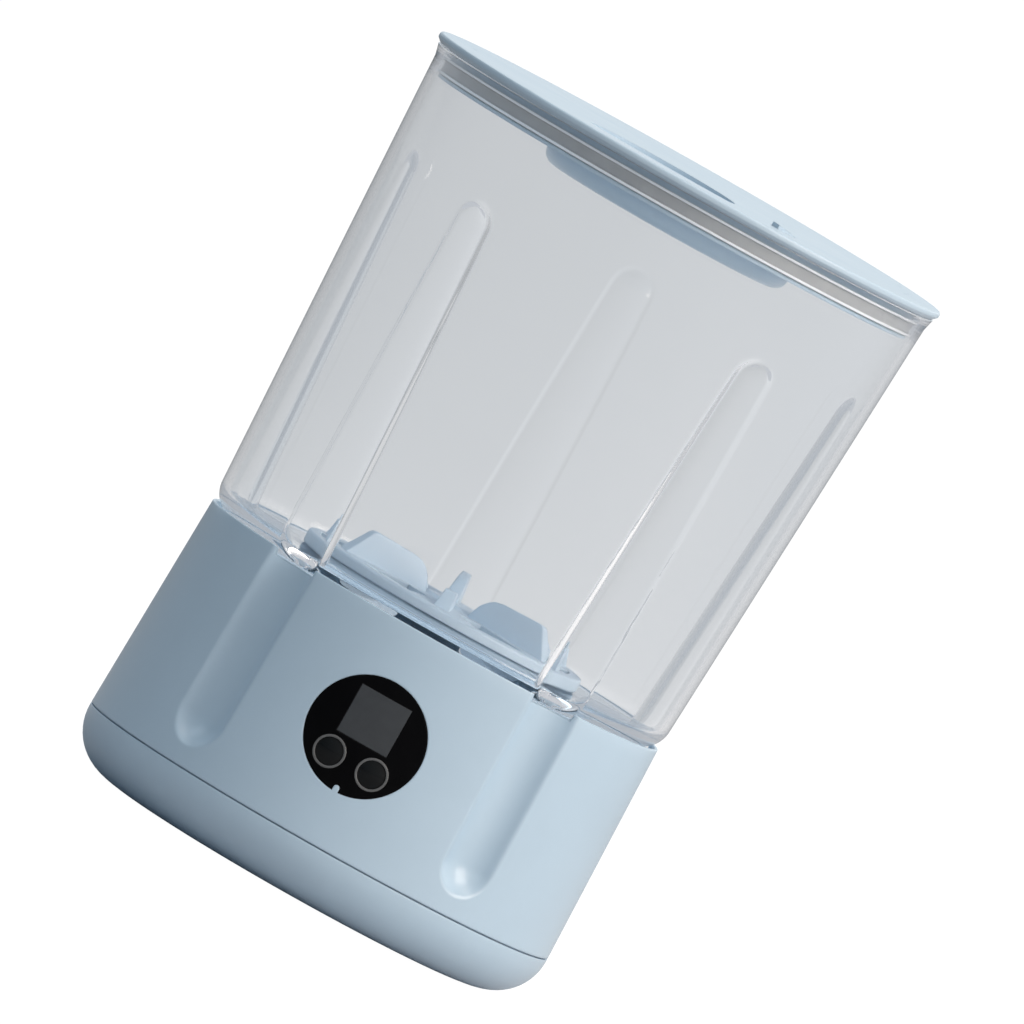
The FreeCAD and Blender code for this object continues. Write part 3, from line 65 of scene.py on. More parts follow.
RIM_TOP = SHELL_HIGH.z
RIM_RADIUS = 76.6 * MM
RIM_INNER = 75.4 * MM
DECK_LEVEL = RIM_TOP - 2.4 * MM
DECK_WALL = 2.4 * MM
DECK_HOLE = 6.05 * MM
DECK_ROWS = (60 * MM, 44 * MM)  # extra rings of points that keep the deck's faces short
BUSH_BOSS_RADIUS, BUSH_BOSS_DEPTH = 9 * MM, 4.2 * MM
BASE_RADIUS = SHELL_HIGH.x
BASE_WALL = 2.4 * MM
SEAM_TOP = 18.2 * MM
TONGUE_FOOT, TONGUE_INSET = 15.2 * MM, 1.35 * MM
BASE_SLOPE = (BASE_RADIUS - RIM_RADIUS) / (RIM_TOP - SEAM_TOP)
BASE_FLUTE_END = 34.5 * MM
POST_AZIMUTHS = (72, 144, 216, 288)
POST_CIRCLE, POST_FOOT = 60 * MM, 3.1 * MM
POST_RADIUS, POST_BORE = 4 * MM, 1.25 * MM
CHUTE_HALF_WIDTH, CHUTE_FRONT, CHUTE_BACK = 11 * MM, 17 * MM, 41 * MM
INLET_AZIMUTH, INLET_LEVEL = 158, 28 * MM
INLET_END_RADIUS, INLET_HALF_WIDTH = 1.88 * MM, 2.84 * MM
INLET_FROM, INLET_TO = 66 * MM, 84 * MM
WINDOW_LEVEL = 53.7 * MM
WINDOW_RADIUS, WINDOW_OPENING = 18.5 * MM, 18.6 * MM
NIB_HEIGHT, NIB_RADIUS, NIB_OPENING = 2.1 * MM, 1.05 * MM, 0.95 * MM

FOOT_LEVEL = HOPPER_LOW.z
HOPPER_TOP = HOPPER_HIGH.z
HOPPER_RIM = 84.3 * MM
HOPPER_FOOT = 76.55 * MM
HOPPER_WALL = 2.3 * MM
HOPPER_FLARE = 0.7 * MM
HOPPER_FLARE_HEIGHT = 4.0 * MM
HOPPER_FOOT_ROUND = 9.0 * MM
HOPPER_FLOOR = 89.0 * MM
HOPPER_FLOOR_TOP = 91.3 * MM
HOPPER_FLOOR_ROW = 42 * MM
HOPPER_BORE, HOPPER_COLLAR_WALL = 7.0 * MM, 2.4 * MM
HOPPER_FLUTE_END = 202.1 * MM
HOPPER_SLOPE = (HOPPER_RIM - HOPPER_FOOT) / (HOPPER_TOP - FOOT_LEVEL)
# The hopper's flutes grow shallower towards their top.
FLUTE_DRIFT, FLUTE_DRIFT_HEIGHT = 3.05 * MM, 115.4 * MM
HOPPER_LEAN = HOPPER_SLOPE + FLUTE_DRIFT / FLUTE_DRIFT_HEIGHT
FLOOR_HOLE_INNER, FLOOR_HOLE_OUTER, FLOOR_HOLE_HALF_ANGLE = 18.5 * MM, 39.5 * MM, 13.0

ROTOR_TOP = 96.0 * MM
ROTOR_THICKNESS = 4.4 * MM
ROTOR_EDGE, ROTOR_HUB, JOURNAL_RADIUS = 46 * MM, 9 * MM, 6.95 * MM
VANE_INNER, VANE_OUTER = 9.7 * MM, 40 * MM
VANE_HALF_WIDTH, VANE_DRAFT, VANE_DRAFT_HEIGHT = 2.5 * MM, 1.1, 10.5
TALL_VANE, SHORT_VANE = 9.5 * MM, 6 * MM
POCKET_INNER, POCKET_OUTER, POCKET_HALF_ANGLE = 18 * MM, 40 * MM, 14
SOCKET_FLATS, SOCKET_REACH = 7.1 * MM, 8.8 * MM

LIGHT_AIM = 120 * MM


# ---------------------------------------------------------------- node trees

def put(tree, kind, values=None, **settings):
    """A node with its inputs set to values or joined to other nodes' outputs."""
    node = tree.nodes.new(kind)
    for name, value in settings.items():
        setattr(node, name, value)
    for name, value in (values or {}).items():
        if isinstance(value, bpy.types.NodeSocket):
            tree.links.new(value, node.inputs[name])
        else:
            node.inputs[name].default_value = value
    return node


def maths(tree, kind, *values):
    """The result of a Math node."""
    return put(tree, "ShaderNodeMath", dict(enumerate(values)), operation=kind).outputs[0]


def vector_maths(tree, kind, *values, output=0):
    """The result of a Vector Math node."""
    node = put(tree, "ShaderNodeVectorMath", dict(enumerate(values)), operation=kind)
    return node.outputs[output]


def group_tree(name, kind, inputs, outputs):
    """A node group with named inputs (name: type, default) and outputs (name: type)."""
    tree = bpy.data.node_groups.new(name, kind)
    for title, (socket, default) in inputs.items():
        made = tree.interface.new_socket(title, in_out="INPUT", socket_type=socket)
        if default is not None:
            made.default_value = default
    for title, socket in outputs.items():
        tree.interface.new_socket(title, in_out="OUTPUT", socket_type=socket)
    return tree, tree.nodes.new("NodeGroupInput"), tree.nodes.new("NodeGroupOutput")


FLOAT, VECTOR = "NodeSocketFloat", "NodeSocketVector"


# ---------------------------------------------------------------- shared surface effects

def moulded_grain_group():
    """The fine texture of a moulding tool, and a slow mottle over it."""
    tree, start, end = group_tree("moulded_grain", "ShaderNodeTree", {
        "Vector": (VECTOR, None), "Grain Scale": (FLOAT, 2600.0), "Mottle Scale": (FLOAT, 45.0),
    }, {"Grain": FLOAT, "Mottle": FLOAT})
    fine = put(tree, "ShaderNodeTexNoise", {
        "Vector": start.outputs["Vector"], "Scale": start.outputs["Grain Scale"],
        "Detail": 2.0, "Roughness": 0.55})
    slow = put(tree, "ShaderNodeTexNoise", {
        "Vector": start.outputs["Vector"], "Scale": start.outputs["Mottle Scale"],
        "Detail": 4.0, "Roughness": 0.6, "Distortion": 0.4})
    tree.links.new(fine.outputs["Fac"], end.inputs["Grain"])
    tree.links.new(slow.outputs["Fac"], end.inputs["Mottle"])
    return tree


def edge_wear_group():
    """A mask of convex edges, broken up by noise, and a normal that rounds them over. Finishes use
    the mask for polished wear; the rubber finishes and the key ring also use it for a painted
    highlight."""
    tree, start, end = group_tree("edge_wear", "ShaderNodeTree", {
        "Vector": (VECTOR, None), "Width": (FLOAT, 0.0006), "Strength": (FLOAT, 3.0),
    }, {"Edge": FLOAT, "Rounded": VECTOR})
    rounded = put(tree, "ShaderNodeBevel", {"Radius": start.outputs["Width"]}, samples=4)
    face = put(tree, "ShaderNodeNewGeometry")
    along = vector_maths(tree, "DOT_PRODUCT", rounded.outputs["Normal"], face.outputs["Normal"],
                         output="Value")
    turn = maths(tree, "MULTIPLY", maths(tree, "SUBTRACT", 1.0, along), start.outputs["Strength"])
    noise = put(tree, "ShaderNodeTexNoise", {
        "Vector": start.outputs["Vector"], "Scale": 260.0, "Detail": 5.0, "Roughness": 0.65})
    broken = put(tree, "ShaderNodeMapRange", {
        "Value": noise.outputs["Fac"], "From Min": 0.35, "From Max": 0.65,
        "To Min": 0.25, "To Max": 1.0})
    mask = maths(tree, "MULTIPLY", turn, broken.outputs["Result"])
    clamped = put(tree, "ShaderNodeClamp", {"Value": mask})
    tree.links.new(clamped.outputs["Result"], end.inputs["Edge"])
    tree.links.new(rounded.outputs["Normal"], end.inputs["Rounded"])
    return tree


def dust_group():
    """Fine dust that lies on what faces up, in drifts."""
    tree, start, end = group_tree("dust", "ShaderNodeTree", {
        "Vector": (VECTOR, None), "Amount": (FLOAT, 0.1),
    }, {"Dust": FLOAT})
    face = put(tree, "ShaderNodeNewGeometry")
    height = put(tree, "ShaderNodeSeparateXYZ", {"Vector": face.outputs["Normal"]})
    upward = put(tree, "ShaderNodeMapRange", {
        "Value": height.outputs["Z"], "From Min": 0.2, "From Max": 1.0})
    drift = put(tree, "ShaderNodeTexNoise", {
        "Vector": start.outputs["Vector"], "Scale": 70.0, "Detail": 6.0, "Roughness": 0.7})
    specks = put(tree, "ShaderNodeTexNoise", {
        "Vector": start.outputs["Vector"], "Scale": 1900.0, "Detail": 1.0})
    speck = put(tree, "ShaderNodeMapRange", {
        "Value": specks.outputs["Fac"], "From Min": 0.52, "From Max": 0.72})
    both = maths(tree, "MULTIPLY", upward.outputs["Result"],
                 maths(tree, "MULTIPLY", drift.outputs["Fac"], speck.outputs["Result"]))
    tree.links.new(maths(tree, "MULTIPLY", both, start.outputs["Amount"]), end.inputs["Dust"])
    return tree


def hairline_group():
    """Very fine wiping marks, each patch with its own direction."""
    tree, start, end = group_tree("hairlines", "ShaderNodeTree", {
        "Vector": (VECTOR, None), "Scale": (FLOAT, 900.0), "Stretch": (FLOAT, 0.04),
    }, {"Lines": FLOAT})
    squeezed = put(tree, "ShaderNodeCombineXYZ", {
        "X": 1.0, "Y": start.outputs["Stretch"], "Z": 1.0})
    across = vector_maths(tree, "MULTIPLY", start.outputs["Vector"], squeezed.outputs["Vector"])
    first = put(tree, "ShaderNodeTexNoise", {
        "Vector": across, "Scale": start.outputs["Scale"], "Detail": 3.0, "Distortion": 0.15})
    turned = put(tree, "ShaderNodeVectorRotate", {
        "Vector": start.outputs["Vector"], "Angle": 1.1}, rotation_type="Z_AXIS")
    other = vector_maths(tree, "MULTIPLY", turned.outputs["Vector"], squeezed.outputs["Vector"])
    second = put(tree, "ShaderNodeTexNoise", {
        "Vector": other, "Scale": start.outputs["Scale"], "Detail": 3.0, "Distortion": 0.15})
    lines = maths(tree, "MAXIMUM", first.outputs["Fac"], second.outputs["Fac"])
    sharp = put(tree, "ShaderNodeMapRange", {
        "Value": lines, "From Min": 0.6, "From Max": 0.78})
    tree.links.new(sharp.outputs["Result"], end.inputs["Lines"])
    return tree


GRAIN = moulded_grain_group()
EDGE_WEAR = edge_wear_group()
DUST = dust_group()
HAIRLINES = hairline_group()


# ---------------------------------------------------------------- finishes

def new_finish(name):
    """An empty material with its output, and the object's own coordinates."""
    material = bpy.data.materials.new(name)
    material.use_nodes = True
    tree = material.node_tree
    tree.nodes.clear()
    output = tree.nodes.new("ShaderNodeOutputMaterial")
    place = put(tree, "ShaderNodeTexCoord").outputs["Object"]
    return material, tree, output, place


def effect(tree, group, values):
    """One of the shared effects, placed in a material with its own values."""
    return put(tree, "ShaderNodeGroup", values, node_tree=group)


def blend_colour(tree, share, first, second):
    """A mix of two colours by a share from 0 to 1."""
    factor, start, stop, result = 0, 6, 7, 2
    node = put(tree, "ShaderNodeMix", {factor: share, start: first, stop: second},
               data_type="RGBA")
    return node.outputs[result]


def between(tree, value, low, high, start=0.0, stop=1.0):
    """value, mapped from start..stop to low..high."""
    node = put(tree, "ShaderNodeMapRange", {
        "Value": value, "From Min": start, "From Max": stop, "To Min": low, "To Max": high})
    return node.outputs["Result"]


def rgb(red, green, blue):
    """A colour with full opacity."""
    return (red, green, blue, 1.0)


def shade(colour, factor):
    """A colour made darker or paler by a factor."""
    return tuple(min(1.0, part * factor) for part in colour[:3]) + (1.0,)


def relief(tree, height, strength, depth, normal=None):
    """A fine relief from a height, laid over a normal if one is given."""
    values = {"Strength": strength, "Distance": depth, "Height": height}
    if normal is not None:
        values["Normal"] = normal
    return put(tree, "ShaderNodeBump", values).outputs["Normal"]


def cover(tree, output, values):
    """A Principled surface with these values, joined to the material's output."""
    skin = put(tree, "ShaderNodeBsdfPrincipled", values)
    tree.links.new(skin.outputs["BSDF"], output.inputs["Surface"])


def moulded_plastic(name, colour, roughness, grain=2600.0, wear_and_highlight=0.35, dust=0.12, coat=0.0):
    """Injection-moulded plastic: fine tool grain, a slow mottle, polished edges painted paler, and
    dust. The paler edges are wear, and where their share is high, as on the key ring, a painted
    highlight.
    """
    material, tree, output, place = new_finish(name)
    texture = effect(tree, GRAIN, {"Vector": place, "Grain Scale": grain, "Mottle Scale": 38.0})
    edges = effect(tree, EDGE_WEAR, {"Vector": place, "Width": 0.0007, "Strength": 2.2})
    dusting = effect(tree, DUST, {"Vector": place, "Amount": dust}).outputs["Dust"]
    body = blend_colour(tree, texture.outputs["Mottle"], shade(colour, 0.96), shade(colour, 1.04))
    # Edges painted paler by their share: wear, and a painted highlight where the share is high.
    worn_and_highlit = blend_colour(tree, maths(tree, "MULTIPLY", edges.outputs["Edge"], wear_and_highlight), body,
                        shade(colour, 1.25))
    dusty = blend_colour(tree, dusting, worn_and_highlit, rgb(0.62, 0.6, 0.56))
    rough = between(tree, texture.outputs["Mottle"], roughness - 0.05, roughness + 0.05, 0.3, 0.7)
    rough = maths(tree, "SUBTRACT", rough, maths(tree, "MULTIPLY", edges.outputs["Edge"], 0.1))
    rough = maths(tree, "ADD", rough, maths(tree, "MULTIPLY", dusting, 0.4))
    normal = relief(tree, texture.outputs["Grain"], 0.35, 0.02 * MM, edges.outputs["Rounded"])
    cover(tree, output, {"Base Color": dusty, "Roughness": rough, "Normal": normal,
                         "Coat Weight": coat, "Coat Roughness": 0.17})
    return material


def clear_plastic(name, colour):
    """Clear moulded plastic with a very light flow waviness and faint wiping marks. Light that
    is caught inside the wall leaves it after a few turns."""
    material, tree, output, place = new_finish(name)
    texture = effect(tree, GRAIN, {"Vector": place, "Grain Scale": 60.0, "Mottle Scale": 9.0})
    marks = effect(tree, HAIRLINES, {"Vector": place, "Scale": 700.0, "Stretch": 0.05})
    rough = between(tree, texture.outputs["Mottle"], 0.012, 0.04, 0.35, 0.7)
    rough = maths(tree, "ADD", rough, maths(tree, "MULTIPLY", marks.outputs["Lines"], 0.035))
    normal = relief(tree, texture.outputs["Grain"], 0.04, 0.04 * MM)
    tint = blend_colour(tree, texture.outputs["Mottle"], shade(colour, 0.99), shade(colour, 1.01))
    skin = put(tree, "ShaderNodeBsdfPrincipled", {
        "Base Color": tint, "Roughness": rough, "IOR": 1.36, "Transmission Weight": 1.0,
        "Normal": normal})
    lit = put(tree, "ShaderNodeBsdfTransparent", {"Color": shade(colour, 0.97)})
    rays = put(tree, "ShaderNodeLightPath")
    caught = maths(tree, "GREATER_THAN", rays.outputs["Ray Depth"], 4.5)
    through = maths(tree, "MAXIMUM", rays.outputs["Is Shadow Ray"], caught)
    both = put(tree, "ShaderNodeMixShader", {
        0: through, 1: skin.outputs["BSDF"], 2: lit.outputs["BSDF"]})
    tree.links.new(both.outputs["Shader"], output.inputs["Surface"])
    return material


def gloss_black(name, colour, roughness=0.08, marks=0.12, specular=0.06):
    """Hard-coated gloss plastic with fingertip smears and hairlines."""
    material, tree, output, place = new_finish(name)
    texture = effect(tree, GRAIN, {"Vector": place, "Grain Scale": 320.0, "Mottle Scale": 110.0})
    lines = effect(tree, HAIRLINES, {"Vector": place, "Scale": 1500.0, "Stretch": 0.03})
    edges = effect(tree, EDGE_WEAR, {"Vector": place, "Width": 0.0004, "Strength": 2.0})
    body = blend_colour(tree, texture.outputs["Mottle"], shade(colour, 0.85), shade(colour, 1.2))
    body = blend_colour(tree, maths(tree, "MULTIPLY", edges.outputs["Edge"], 0.3), body,
                        rgb(0.09, 0.095, 0.1))
    smear = between(tree, texture.outputs["Mottle"], 0.0, marks, 0.5, 0.75)
    rough = maths(tree, "ADD", roughness, smear)
    rough = maths(tree, "ADD", rough, maths(tree, "MULTIPLY", lines.outputs["Lines"], 0.12))
    normal = relief(tree, texture.outputs["Grain"], 0.1, 0.01 * MM, edges.outputs["Rounded"])
    cover(tree, output, {"Base Color": body, "Roughness": rough, "Normal": normal,
                         "Specular IOR Level": specular})
    return material


def rubber(name, colour, roughness=0.62, sheen=0.2, lip=1.0):
    """Moulded rubber or silicone with a soft bloom and clinging lint. What stands out past the
    lip's radius, and the convex edges, are painted paler: a painted highlight."""
    material, tree, output, place = new_finish(name)
    texture = effect(tree, GRAIN, {"Vector": place, "Grain Scale": 1500.0, "Mottle Scale": 90.0})
    edges = effect(tree, EDGE_WEAR, {"Vector": place, "Width": 0.0007, "Strength": 2.6})
    dusting = effect(tree, DUST, {"Vector": place, "Amount": 0.35}).outputs["Dust"]
    body = blend_colour(tree, texture.outputs["Mottle"], shade(colour, 0.875),
                        shade(colour, 1.25))
    x, y, _ = put(tree, "ShaderNodeSeparateXYZ", {"Vector": place}).outputs
    flat = put(tree, "ShaderNodeCombineXYZ", {"X": x, "Y": y}).outputs["Vector"]
    radius = vector_maths(tree, "LENGTH", flat, output="Value")
    # Painted highlight: the colour is painted paler past the lip's radius and along convex edges.
    painted_highlight = between(tree, radius, 0.0, 1.0, lip, lip + 0.4 * MM)
    painted_highlight = maths(tree, "MAXIMUM", painted_highlight, maths(tree, "MULTIPLY", edges.outputs["Edge"], 0.4))
    body = blend_colour(tree, painted_highlight, body, shade(colour, 2.6))
    body = blend_colour(tree, dusting, body, rgb(0.5, 0.5, 0.48))
    rough = between(tree, texture.outputs["Mottle"], roughness - 0.1, roughness + 0.1, 0.3, 0.7)
    normal = relief(tree, texture.outputs["Grain"], 0.4, 0.04 * MM, edges.outputs["Rounded"])
    cover(tree, output, {"Base Color": body, "Roughness": rough, "Normal": normal,
                         "Sheen Weight": sheen, "Sheen Roughness": 0.5})
    return material


def metal(name, colour, roughness):
    """Machined or plated metal with tool lines and slightly dull patches."""
    material, tree, output, place = new_finish(name)
    texture = effect(tree, GRAIN, {"Vector": place, "Grain Scale": 1800.0, "Mottle Scale": 160.0})
    lines = effect(tree, HAIRLINES, {"Vector": place, "Scale": 1400.0, "Stretch": 0.02})
    edges = effect(tree, EDGE_WEAR, {"Vector": place, "Width": 0.0003, "Strength": 2.5})
    body = blend_colour(tree, texture.outputs["Mottle"], shade(colour, 0.85), shade(colour, 1.1))
    body = blend_colour(tree, maths(tree, "MULTIPLY", edges.outputs["Edge"], 0.5), body,
                        shade(colour, 1.35))
    rough = between(tree, texture.outputs["Mottle"], roughness - 0.08, roughness + 0.12, 0.3, 0.7)
    rough = maths(tree, "ADD", rough, maths(tree, "MULTIPLY", lines.outputs["Lines"], 0.15))
    normal = relief(tree, lines.outputs["Lines"], 0.25, 0.02 * MM, edges.outputs["Rounded"])
    cover(tree, output, {"Base Color": body, "Roughness": rough, "Metallic": 1.0,
                         "Normal": normal})
    return material


def circuit_board(name):
    """Solder mask over copper tracks that run square to each other."""
    material, tree, output, place = new_finish(name)
    texture = effect(tree, GRAIN, {"Vector": place, "Grain Scale": 1200.0, "Mottle Scale": 80.0})
    tracks = put(tree, "ShaderNodeTexBrick", {
        "Vector": place, "Color1": rgb(0, 0, 0), "Color2": rgb(0.35, 0.35, 0.35),
        "Mortar": rgb(1, 1, 1), "Scale": 160.0, "Mortar Size": 0.06, "Mortar Smooth": 0.2,
        "Brick Width": 0.9, "Row Height": 0.35})
    glow = blend_colour(tree, texture.outputs["Mottle"], rgb(0.012, 0.07, 0.03),
                        rgb(0.02, 0.105, 0.045))
    body = blend_colour(tree, maths(tree, "MULTIPLY", tracks.outputs["Color"], 0.6), glow,
                        rgb(0.06, 0.22, 0.08))
    rough = between(tree, texture.outputs["Mottle"], 0.25, 0.42)
    normal = relief(tree, tracks.outputs["Color"], 0.3, 0.04 * MM)
    cover(tree, output, {"Base Color": body, "Roughness": rough, "Normal": normal})
    return material


def desiccant_grain(name):
    """Non-woven packing over round beads, each bead painted darker towards its edge: painted shade
    between the beads.
    """
    material, tree, output, place = new_finish(name)
    beads = put(tree, "ShaderNodeTexVoronoi", {"Vector": place, "Scale": 420.0})
    fibres = effect(tree, HAIRLINES, {"Vector": place, "Scale": 2400.0, "Stretch": 0.1})
    # Painted shade: each bead's colour darkens towards its edge, where the beads meet.
    body = blend_colour(tree, beads.outputs["Distance"], rgb(0.84, 0.84, 0.82),
                        rgb(0.62, 0.63, 0.62))
    height = maths(tree, "ADD", maths(tree, "MULTIPLY", fibres.outputs["Lines"], 0.3),
                   maths(tree, "SUBTRACT", 1.0, beads.outputs["Distance"]))
    rough = between(tree, fibres.outputs["Lines"], 0.75, 0.9)
    normal = relief(tree, height, 0.5, 0.4 * MM)
    cover(tree, output, {"Base Color": body, "Roughness": rough, "Normal": normal})
    return material


PALE_BLUE = rgb(0.425, 0.565, 0.69)
FINISHES = {
    "base_plastic": moulded_plastic("pale_blue_base", PALE_BLUE, 0.36, coat=0.4),
    "lid_plastic": moulded_plastic("pale_blue_lid", rgb(0.43, 0.555, 0.665), 0.38, coat=0.2),
    "rotor_plastic": moulded_plastic("pale_blue_rotor", rgb(0.47, 0.58, 0.68), 0.38, dust=0.25),
    "clear_plastic": clear_plastic("clear_hopper", rgb(0.93, 0.945, 0.955)),
    # Past this lip radius the seal's lips are painted paler: a painted highlight.
    "grey_silicone": rubber("grey_seal", rgb(0.32, 0.335, 0.35), 0.42, 0.1, lip=80.8 * MM),
    "black_rubber": rubber("black_foot_rubber", rgb(0.025, 0.025, 0.027)),
    "window_black": gloss_black("black_window", rgb(0.0015, 0.0015, 0.002)),
    "screen_grey": gloss_black("smoked_screen", rgb(0.052, 0.058, 0.065), 0.12),
    "key_black": gloss_black("black_keys", rgb(0.002, 0.003, 0.004), 0.12, 0.06, 0.2),
    # The high edge share paints the ring's edges paler: a painted highlight along them.
    "ring_grey": moulded_plastic("grey_key_ring", rgb(0.1, 0.105, 0.11), 0.26, wear_and_highlight=0.9),
    "screw_steel": metal("zinc_screw", rgb(0.55, 0.56, 0.58), 0.32),
    "motor_steel": metal("motor_steel", rgb(0.45, 0.46, 0.48), 0.36),
    "pinion_brass": metal("pinion_brass", rgb(0.72, 0.5, 0.2), 0.3),
    "nylon_white": moulded_plastic("white_nylon", rgb(0.72, 0.71, 0.67), 0.42, dust=0.05),
    "case_plastic": moulded_plastic("grey_case", rgb(0.2, 0.21, 0.22), 0.5, 1400.0),
    "board_green": circuit_board("green_board"),
    "chip_black": moulded_plastic("black_chip", rgb(0.018, 0.018, 0.02), 0.5, 1800.0),
    "lcd_glass": gloss_black("lcd_glass", rgb(0.05, 0.06, 0.055), 0.1, 0.1, 0.4),
    "cell_wrap": moulded_plastic("cell_wrap", rgb(0.05, 0.17, 0.42), 0.28, dust=0.0),
    "nickel": metal("nickel_plate", rgb(0.66, 0.64, 0.58), 0.25),
    "desiccant_white": desiccant_grain("desiccant_pack"),
}

for part in frame["record"]["subparts"]:
    thing = frame["nodes"][part["node"]]
    thing.data.materials.clear()
    thing.data.materials.append(FINISHES[part["material_slot"]])


# ---------------------------------------------------------------- mesh making

def arc(middle_r, middle_z, radius, start, stop, steps):
    """Points of an arc in a half section; angles in degrees from outwards towards up."""
    points = []
    for step in range(steps + 1):
        angle = math.radians(start + (stop - start) * step / steps)
        points.append((middle_r + radius * math.cos(angle), middle_z + radius * math.sin(angle)))
    return points


def line(first, last, steps):
    """Points from first to last, without the last."""
    return [(first[0] + (last[0] - first[0]) * step / steps,
             first[1] + (last[1] - first[1]) * step / steps) for step in range(steps)]


def new_piece(name, mesh):
    """An object in the scene that shows a mesh."""
    thing = bpy.data.objects.new(name, mesh)
    bpy.context.scene.collection.objects.link(thing)
    return thing


def turned_piece(name, section, azimuths, depths=None):
    """A closed solid turned from a half section. A section that starts on the axis gets flat
    caps there. depths says how far each point lies under the outer skin."""
    mesh = bpy.data.meshes.new(name)
    capped = section[0][0] == 0
    ring = section[1:-1] if capped else section
    under = (depths[1:-1] if capped else depths) if depths else [0.0] * len(ring)
    points, faces = [], []
    for azimuth in azimuths:
        across, forward = math.sin(azimuth), -math.cos(azimuth)
        points += [(r * across, r * forward, z) for r, z in ring]
    rows, columns = len(ring), len(azimuths)
    for column in range(columns):
        beside = (column + 1) % columns
        for row in range(rows - 1 if capped else rows):
            above = (row + 1) % rows
            faces.append((column * rows + row, beside * rows + row, beside * rows + above,
                          column * rows + above))
    if capped:
        faces.append(tuple(column * rows for column in reversed(range(columns))))
        faces.append(tuple(column * rows + rows - 1 for column in range(columns)))
    mesh.from_pydata(points, [], faces)
    attribute = mesh.attributes.new("under", "FLOAT", "POINT")
    attribute.data.foreach_set("value", list(under) * columns)
    mesh.shade_smooth()
    return new_piece(name, mesh)


def even_azimuths(count):
    """Azimuths with equal steps all the way round."""
    return [2 * math.pi * index / count for index in range(count)]


def fluted_azimuths(sparse):
    """Azimuths that are close together across each flute and wide apart between flutes."""
    step, dense, reach = 360 / FLUTES, 25, 9.3
    spread = [reach * index / dense for index in range(-dense, dense)]
    gap = step - 2 * reach
    spread += [reach + gap * index / sparse for index in range(sparse)]
    return [math.radians(step * (flute + 0.5) + offset)
            for flute in range(FLUTES) for offset in spread]


def prism_piece(name, outline, direction, reach):
    """A closed prism from an outline of points, drawn out along a direction."""
    mesh = bpy.data.meshes.new(name)
    shift = Vector(direction) * reach
    count = len(outline)
    points = [Vector(point) for point in outline] + [Vector(point) + shift for point in outline]
    faces = [tuple(reversed(range(count))), tuple(range(count, 2 * count))]
    for index in range(count):
        following = (index + 1) % count
        faces.append((index, following, count + following, count + index))
    mesh.from_pydata(points, [], faces)
    outward(mesh)
    return new_piece(name, mesh)


def outward(mesh):
    """Turns the faces of a closed mesh outwards."""
    work = bmesh.new()
    work.from_mesh(mesh)
    bmesh.ops.recalc_face_normals(work, faces=work.faces)
    work.to_mesh(mesh)
    work.free()


def settled(thing):
    """The piece as a plain mesh, with its modifiers taken in."""
    graph = bpy.context.evaluated_depsgraph_get()
    graph.update()
    mesh = bpy.data.meshes.new_from_object(thing.evaluated_get(graph))
    old, thing.data = thing.data, mesh
    thing.modifiers.clear()
    bpy.data.meshes.remove(old)
    return thing


def combine(thing, tool, kind):
    """Takes a closed tool away from a piece, or joins it to it."""
    step = thing.modifiers.new("combine", "BOOLEAN")
    step.operation, step.object, step.solver = kind, tool, "EXACT"
    settled(thing)
    bpy.data.objects.remove(tool)
    return thing


def soften(thing, width):
    """Rounds the sharp edges of a piece."""
    step = thing.modifiers.new("soften", "BEVEL")
    step.width, step.segments, step.limit_method = width, 3, "ANGLE"
    step.angle_limit = math.radians(30)
    return settled(thing)


def smooth(thing, angle):
    """Smooth shading, with the sharper edges kept."""
    thing.data.shade_smooth()
    thing.data.set_sharp_from_angle(angle=math.radians(angle))
    return thing


def run_tree(thing, tree, values):
    """Runs a geometry tree on a piece with its named inputs set, and keeps the result."""
    step = thing.modifiers.new(tree.name, "NODES")
    step.node_group = tree
    for item in tree.interface.items_tree:
        if item.in_out == "INPUT" and item.name in values:
            step[item.identifier] = values[item.name]
    return settled(thing)


# ---------------------------------------------------------------- geometry trees

